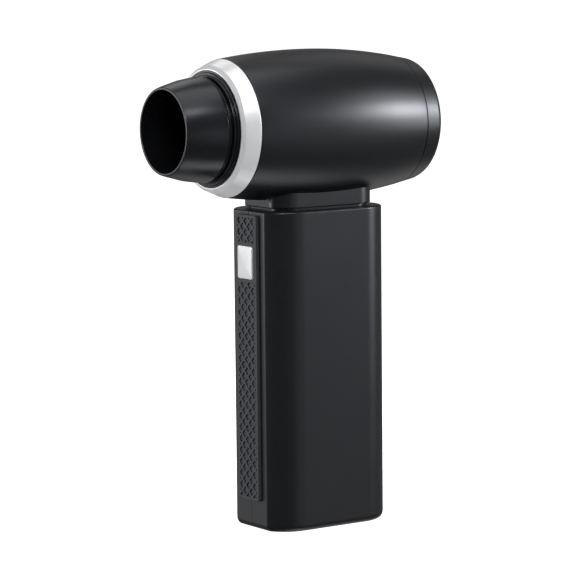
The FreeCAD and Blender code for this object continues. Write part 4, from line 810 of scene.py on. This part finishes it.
def screw_places():
    """(y, z) of each screw plug, from the plugs' own vertices grouped by side."""
    found = []
    for vertex in frame["nodes"]["screw_plugs"].data.vertices:
        for place in found:
            if math.hypot(place[0].y - vertex.co.y, place[0].z - vertex.co.z) < PLUG_SPREAD:
                place.append(vertex.co.copy())
                break
        else:
            found.append([vertex.co.copy()])
    centres = []
    for place in found:
        ys = [p.y for p in place]
        zs = [p.z for p in place]
        centres.append(((min(ys) + max(ys)) / 2, (min(zs) + max(zs)) / 2))
    return centres


def make_grip():
    """Both halves of the case, with windows for the button and socket and screw holes on the left."""
    left_cutters = [button_window(), socket_window()]
    for y, z in screw_places():
        left_cutters.append(cross_rod(SCREW_HOLE_RADIUS, *SCREW_HOLE_X, y, z))
    right = cut_away(half_shell(1), [button_window(), socket_window()])
    left = cut_away(half_shell(-1), left_cutters)
    piece_of_mesh(right, "case_right", "body_black", "housing", "handle_shell_right")
    piece_of_mesh(left, "case_left", "body_black", "housing", "handle_shell_left")


def barrel_radius_at(y):
    """The barrel's outer radius at a place along its axis."""
    end_y, end_radius = BARREL_REAR_Y, BARREL_REAR_RADIUS
    if y < BARREL_WIDEST_Y:
        end_y, end_radius = BARREL_FRONT_Y, BARREL_FRONT_RADIUS
    run = end_y - BARREL_WIDEST_Y
    drop = BARREL_RADIUS - end_radius
    bend = (run * run + drop * drop) / (2 * drop)
    along = y - BARREL_WIDEST_Y
    return BARREL_RADIUS - bend + math.sqrt(bend * bend - along * along)


def neck_outline(inset):
    """The neck's whole section; its front corners keep one radius, rounder than the grip's."""
    right = half_section(inset, crease_radius=NECK_CREASE_RADIUS + inset)
    return right + [(-x, y) for x, y in reversed(right) if x > 0]


def make_neck():
    """Saddle between grip and barrel: set-back tenon, rounded lower edge and a top inside the barrel."""
    build = bmesh.new()
    edge = NECK_EDGE_RADIUS
    levels = [
        (TENON_INSET, GRIP_TOP_Z - TENON_DEPTH),
        (TENON_INSET, NECK_BOTTOM_Z),
        (NECK_INSET + edge, NECK_BOTTOM_Z),
    ]
    for number in range(1, SMALL_EDGE_STEPS + 1):
        angle = math.pi / 2 * number / SMALL_EDGE_STEPS
        inset = NECK_INSET + edge * (1 - math.sin(angle))
        levels.append((inset, NECK_BOTTOM_Z + edge * (1 - math.cos(angle))))
    loops = [[build.verts.new((x, y, z)) for x, y in neck_outline(inset)] for inset, z in levels]
    top = []
    for x, y in neck_outline(NECK_INSET):
        radius = barrel_radius_at(y) - NECK_SINK
        top.append(build.verts.new((x, y, AXIS_Z - math.sqrt(radius * radius - x * x))))
    loops.append(top)
    for lower, upper in zip(loops, loops[1:]):
        bridge_ring(build, lower, upper)
    build.faces.new(loops[0])
    half = len(top) // 2 + 1
    left_side = [top[0]] + list(reversed(top[half:])) + [top[half - 1]]
    for index in range(half - 1):
        corners = [top[index], top[index + 1], left_side[index + 1], left_side[index]]
        unique = list(dict.fromkeys(corners))
        if len(unique) > 2:
            build.faces.new(unique)
    piece_from(build, "neck_saddle", "body_black", "housing", "neck_collar")


# ---------------------------------------------------------------- stage


FLOOR_SIZE = 4.0
FLOOR_LIFT = 1.0


def make_floor():
    """A wide pale floor that takes soft contact shadows, lifted to the white of the room."""
    build = bmesh.new()
    bmesh.ops.create_grid(build, x_segments=8, y_segments=8, size=FLOOR_SIZE)
    mesh = bpy.data.meshes.new("floor")
    build.to_mesh(mesh)
    build.free()
    floor = bpy.data.objects.new("floor", mesh)
    bpy.context.scene.collection.objects.link(floor)
    s = Shader("pale_floor")
    tone = s.mix_colour(s.noise(0.4, 2.0), (0.86, 0.86, 0.86), (0.90, 0.90, 0.90))
    s.join(tone, s.surface.inputs["Base Color"])
    path = s.node("ShaderNodeLightPath")
    lift = s.math("MULTIPLY", path.outputs["Is Camera Ray"], FLOOR_LIFT)
    s.join(lift, s.surface.inputs["Emission Strength"])
    s.set(Roughness=0.75, Emission_Color=(1, 1, 1, 1))
    floor.data.materials.append(s.material)
    floor.visible_glossy = False


def soft_box(name, azimuth, elevation, width, height, power):
    """A rectangular area light that faces the object from a direction."""
    back = direction(azimuth, elevation)
    data = bpy.data.lights.new(name, "AREA")
    data.shape = "RECTANGLE"
    data.size = width
    data.size_y = height
    data.energy = power
    light = bpy.data.objects.new(name, data)
    light.location = LIGHT_TARGET + back * LIGHT_DISTANCE
    light.rotation_mode = "QUATERNION"
    light.rotation_quaternion = (-back).to_track_quat("-Z", "Y")
    bpy.context.scene.collection.objects.link(light)


def glow(tree, azimuth, elevation, spread, strength):
    """Soft round patch of light in the room, full in its middle and gone at spread degrees from it."""
    place = tree.nodes.new("ShaderNodeTexCoord")
    dot = tree.nodes.new("ShaderNodeVectorMath")
    dot.operation = "DOT_PRODUCT"
    dot.inputs[1].default_value = direction(azimuth, elevation)
    fade = tree.nodes.new("ShaderNodeMapRange")
    fade.interpolation_type = "SMOOTHSTEP"
    fade.inputs["From Min"].default_value = math.cos(math.radians(spread))
    fade.inputs["From Max"].default_value = math.cos(math.radians(spread * 0.3))
    fade.inputs["To Max"].default_value = strength
    tree.links.new(place.outputs["Generated"], dot.inputs[0])
    tree.links.new(dot.outputs["Value"], fade.inputs["Value"])
    return fade.outputs["Result"]


ROOM_LIGHT = 0.19
BACKDROP_WHITE = 1.05

# Soft reflector patches: azimuth, elevation, spread in degrees, strength.
GLOWS = (
    (160, -72, 20, 2.4),
    (215, -45, 26, 0.45),
    (125, -10, 26, 0.32),
    (101, -7, 18, 0.45),
    (-58, -8, 24, 0.6),
    (-34, -8, 18, 0.9),
)


def make_world():
    """The room: even soft light, a few soft reflector patches, and plain white behind the object."""
    world = bpy.data.worlds.new("studio")
    world.use_nodes = True
    bpy.context.scene.world = world
    tree = world.node_tree
    background = tree.nodes["Background"]
    background.inputs["Color"].default_value = (1, 1, 1, 1)
    total = None
    for patch in GLOWS:
        lit = glow(tree, *patch)
        added = tree.nodes.new("ShaderNodeMath")
        added.inputs[1].default_value = ROOM_LIGHT
        tree.links.new(lit, added.inputs[0])
        if total is not None:
            tree.links.new(total, added.inputs[1])
        total = added.outputs["Value"]
    path = tree.nodes.new("ShaderNodeLightPath")
    seen = tree.nodes.new("ShaderNodeMapRange")
    seen.inputs["To Max"].default_value = BACKDROP_WHITE
    tree.links.new(path.outputs["Is Camera Ray"], seen.inputs["Value"])
    tree.links.new(total, seen.inputs["To Min"])
    tree.links.new(seen.outputs["Result"], background.inputs["Strength"])


LIGHT_TARGET = Vector((0, 0, 0.11))
LIGHT_DISTANCE = 1.1

# Soft boxes: name, azimuth, elevation, width, height, power.
SOFT_BOXES = (
    ("overhead", 60, 84, 1.0, 1.0, 6.2),
    ("front", -30, 10, 0.45, 0.5, 6.6),
    ("front_left", -58, 6, 0.5, 0.2, 0.8),
    ("right_front", 56, 38, 0.30, 0.30, 6.0),
    ("key", 144, 16, 0.23, 0.24, 9.4),
    ("key_side", 134, 16, 0.26, 0.24, 0.6),
    ("key_low", 147, 2, 0.26, 0.24, 1.8),
    ("key_high", 147, 30, 0.26, 0.24, 1.0),
    ("right_high", 90, 48, 0.26, 0.24, 1.8),
    ("left_high", 255, 45, 0.45, 0.5, 0.8),
    ("rear_high", 210, 45, 0.45, 0.5, 0.3),
)


make_camera()
finish_cad_nodes()
make_barrel()
make_trim()
make_collar()
make_nozzle()
make_rear_cap()
make_grip()
make_neck()
make_button()
soften("grip_plate", 0.08 * MM)
soften("intake_grille", 0.15 * MM)
soften("screw_plugs", 0.2 * MM)
make_floor()
make_world()
for row in SOFT_BOXES:
    soft_box(*row)
bpy.context.scene.view_settings.view_transform = "Standard"
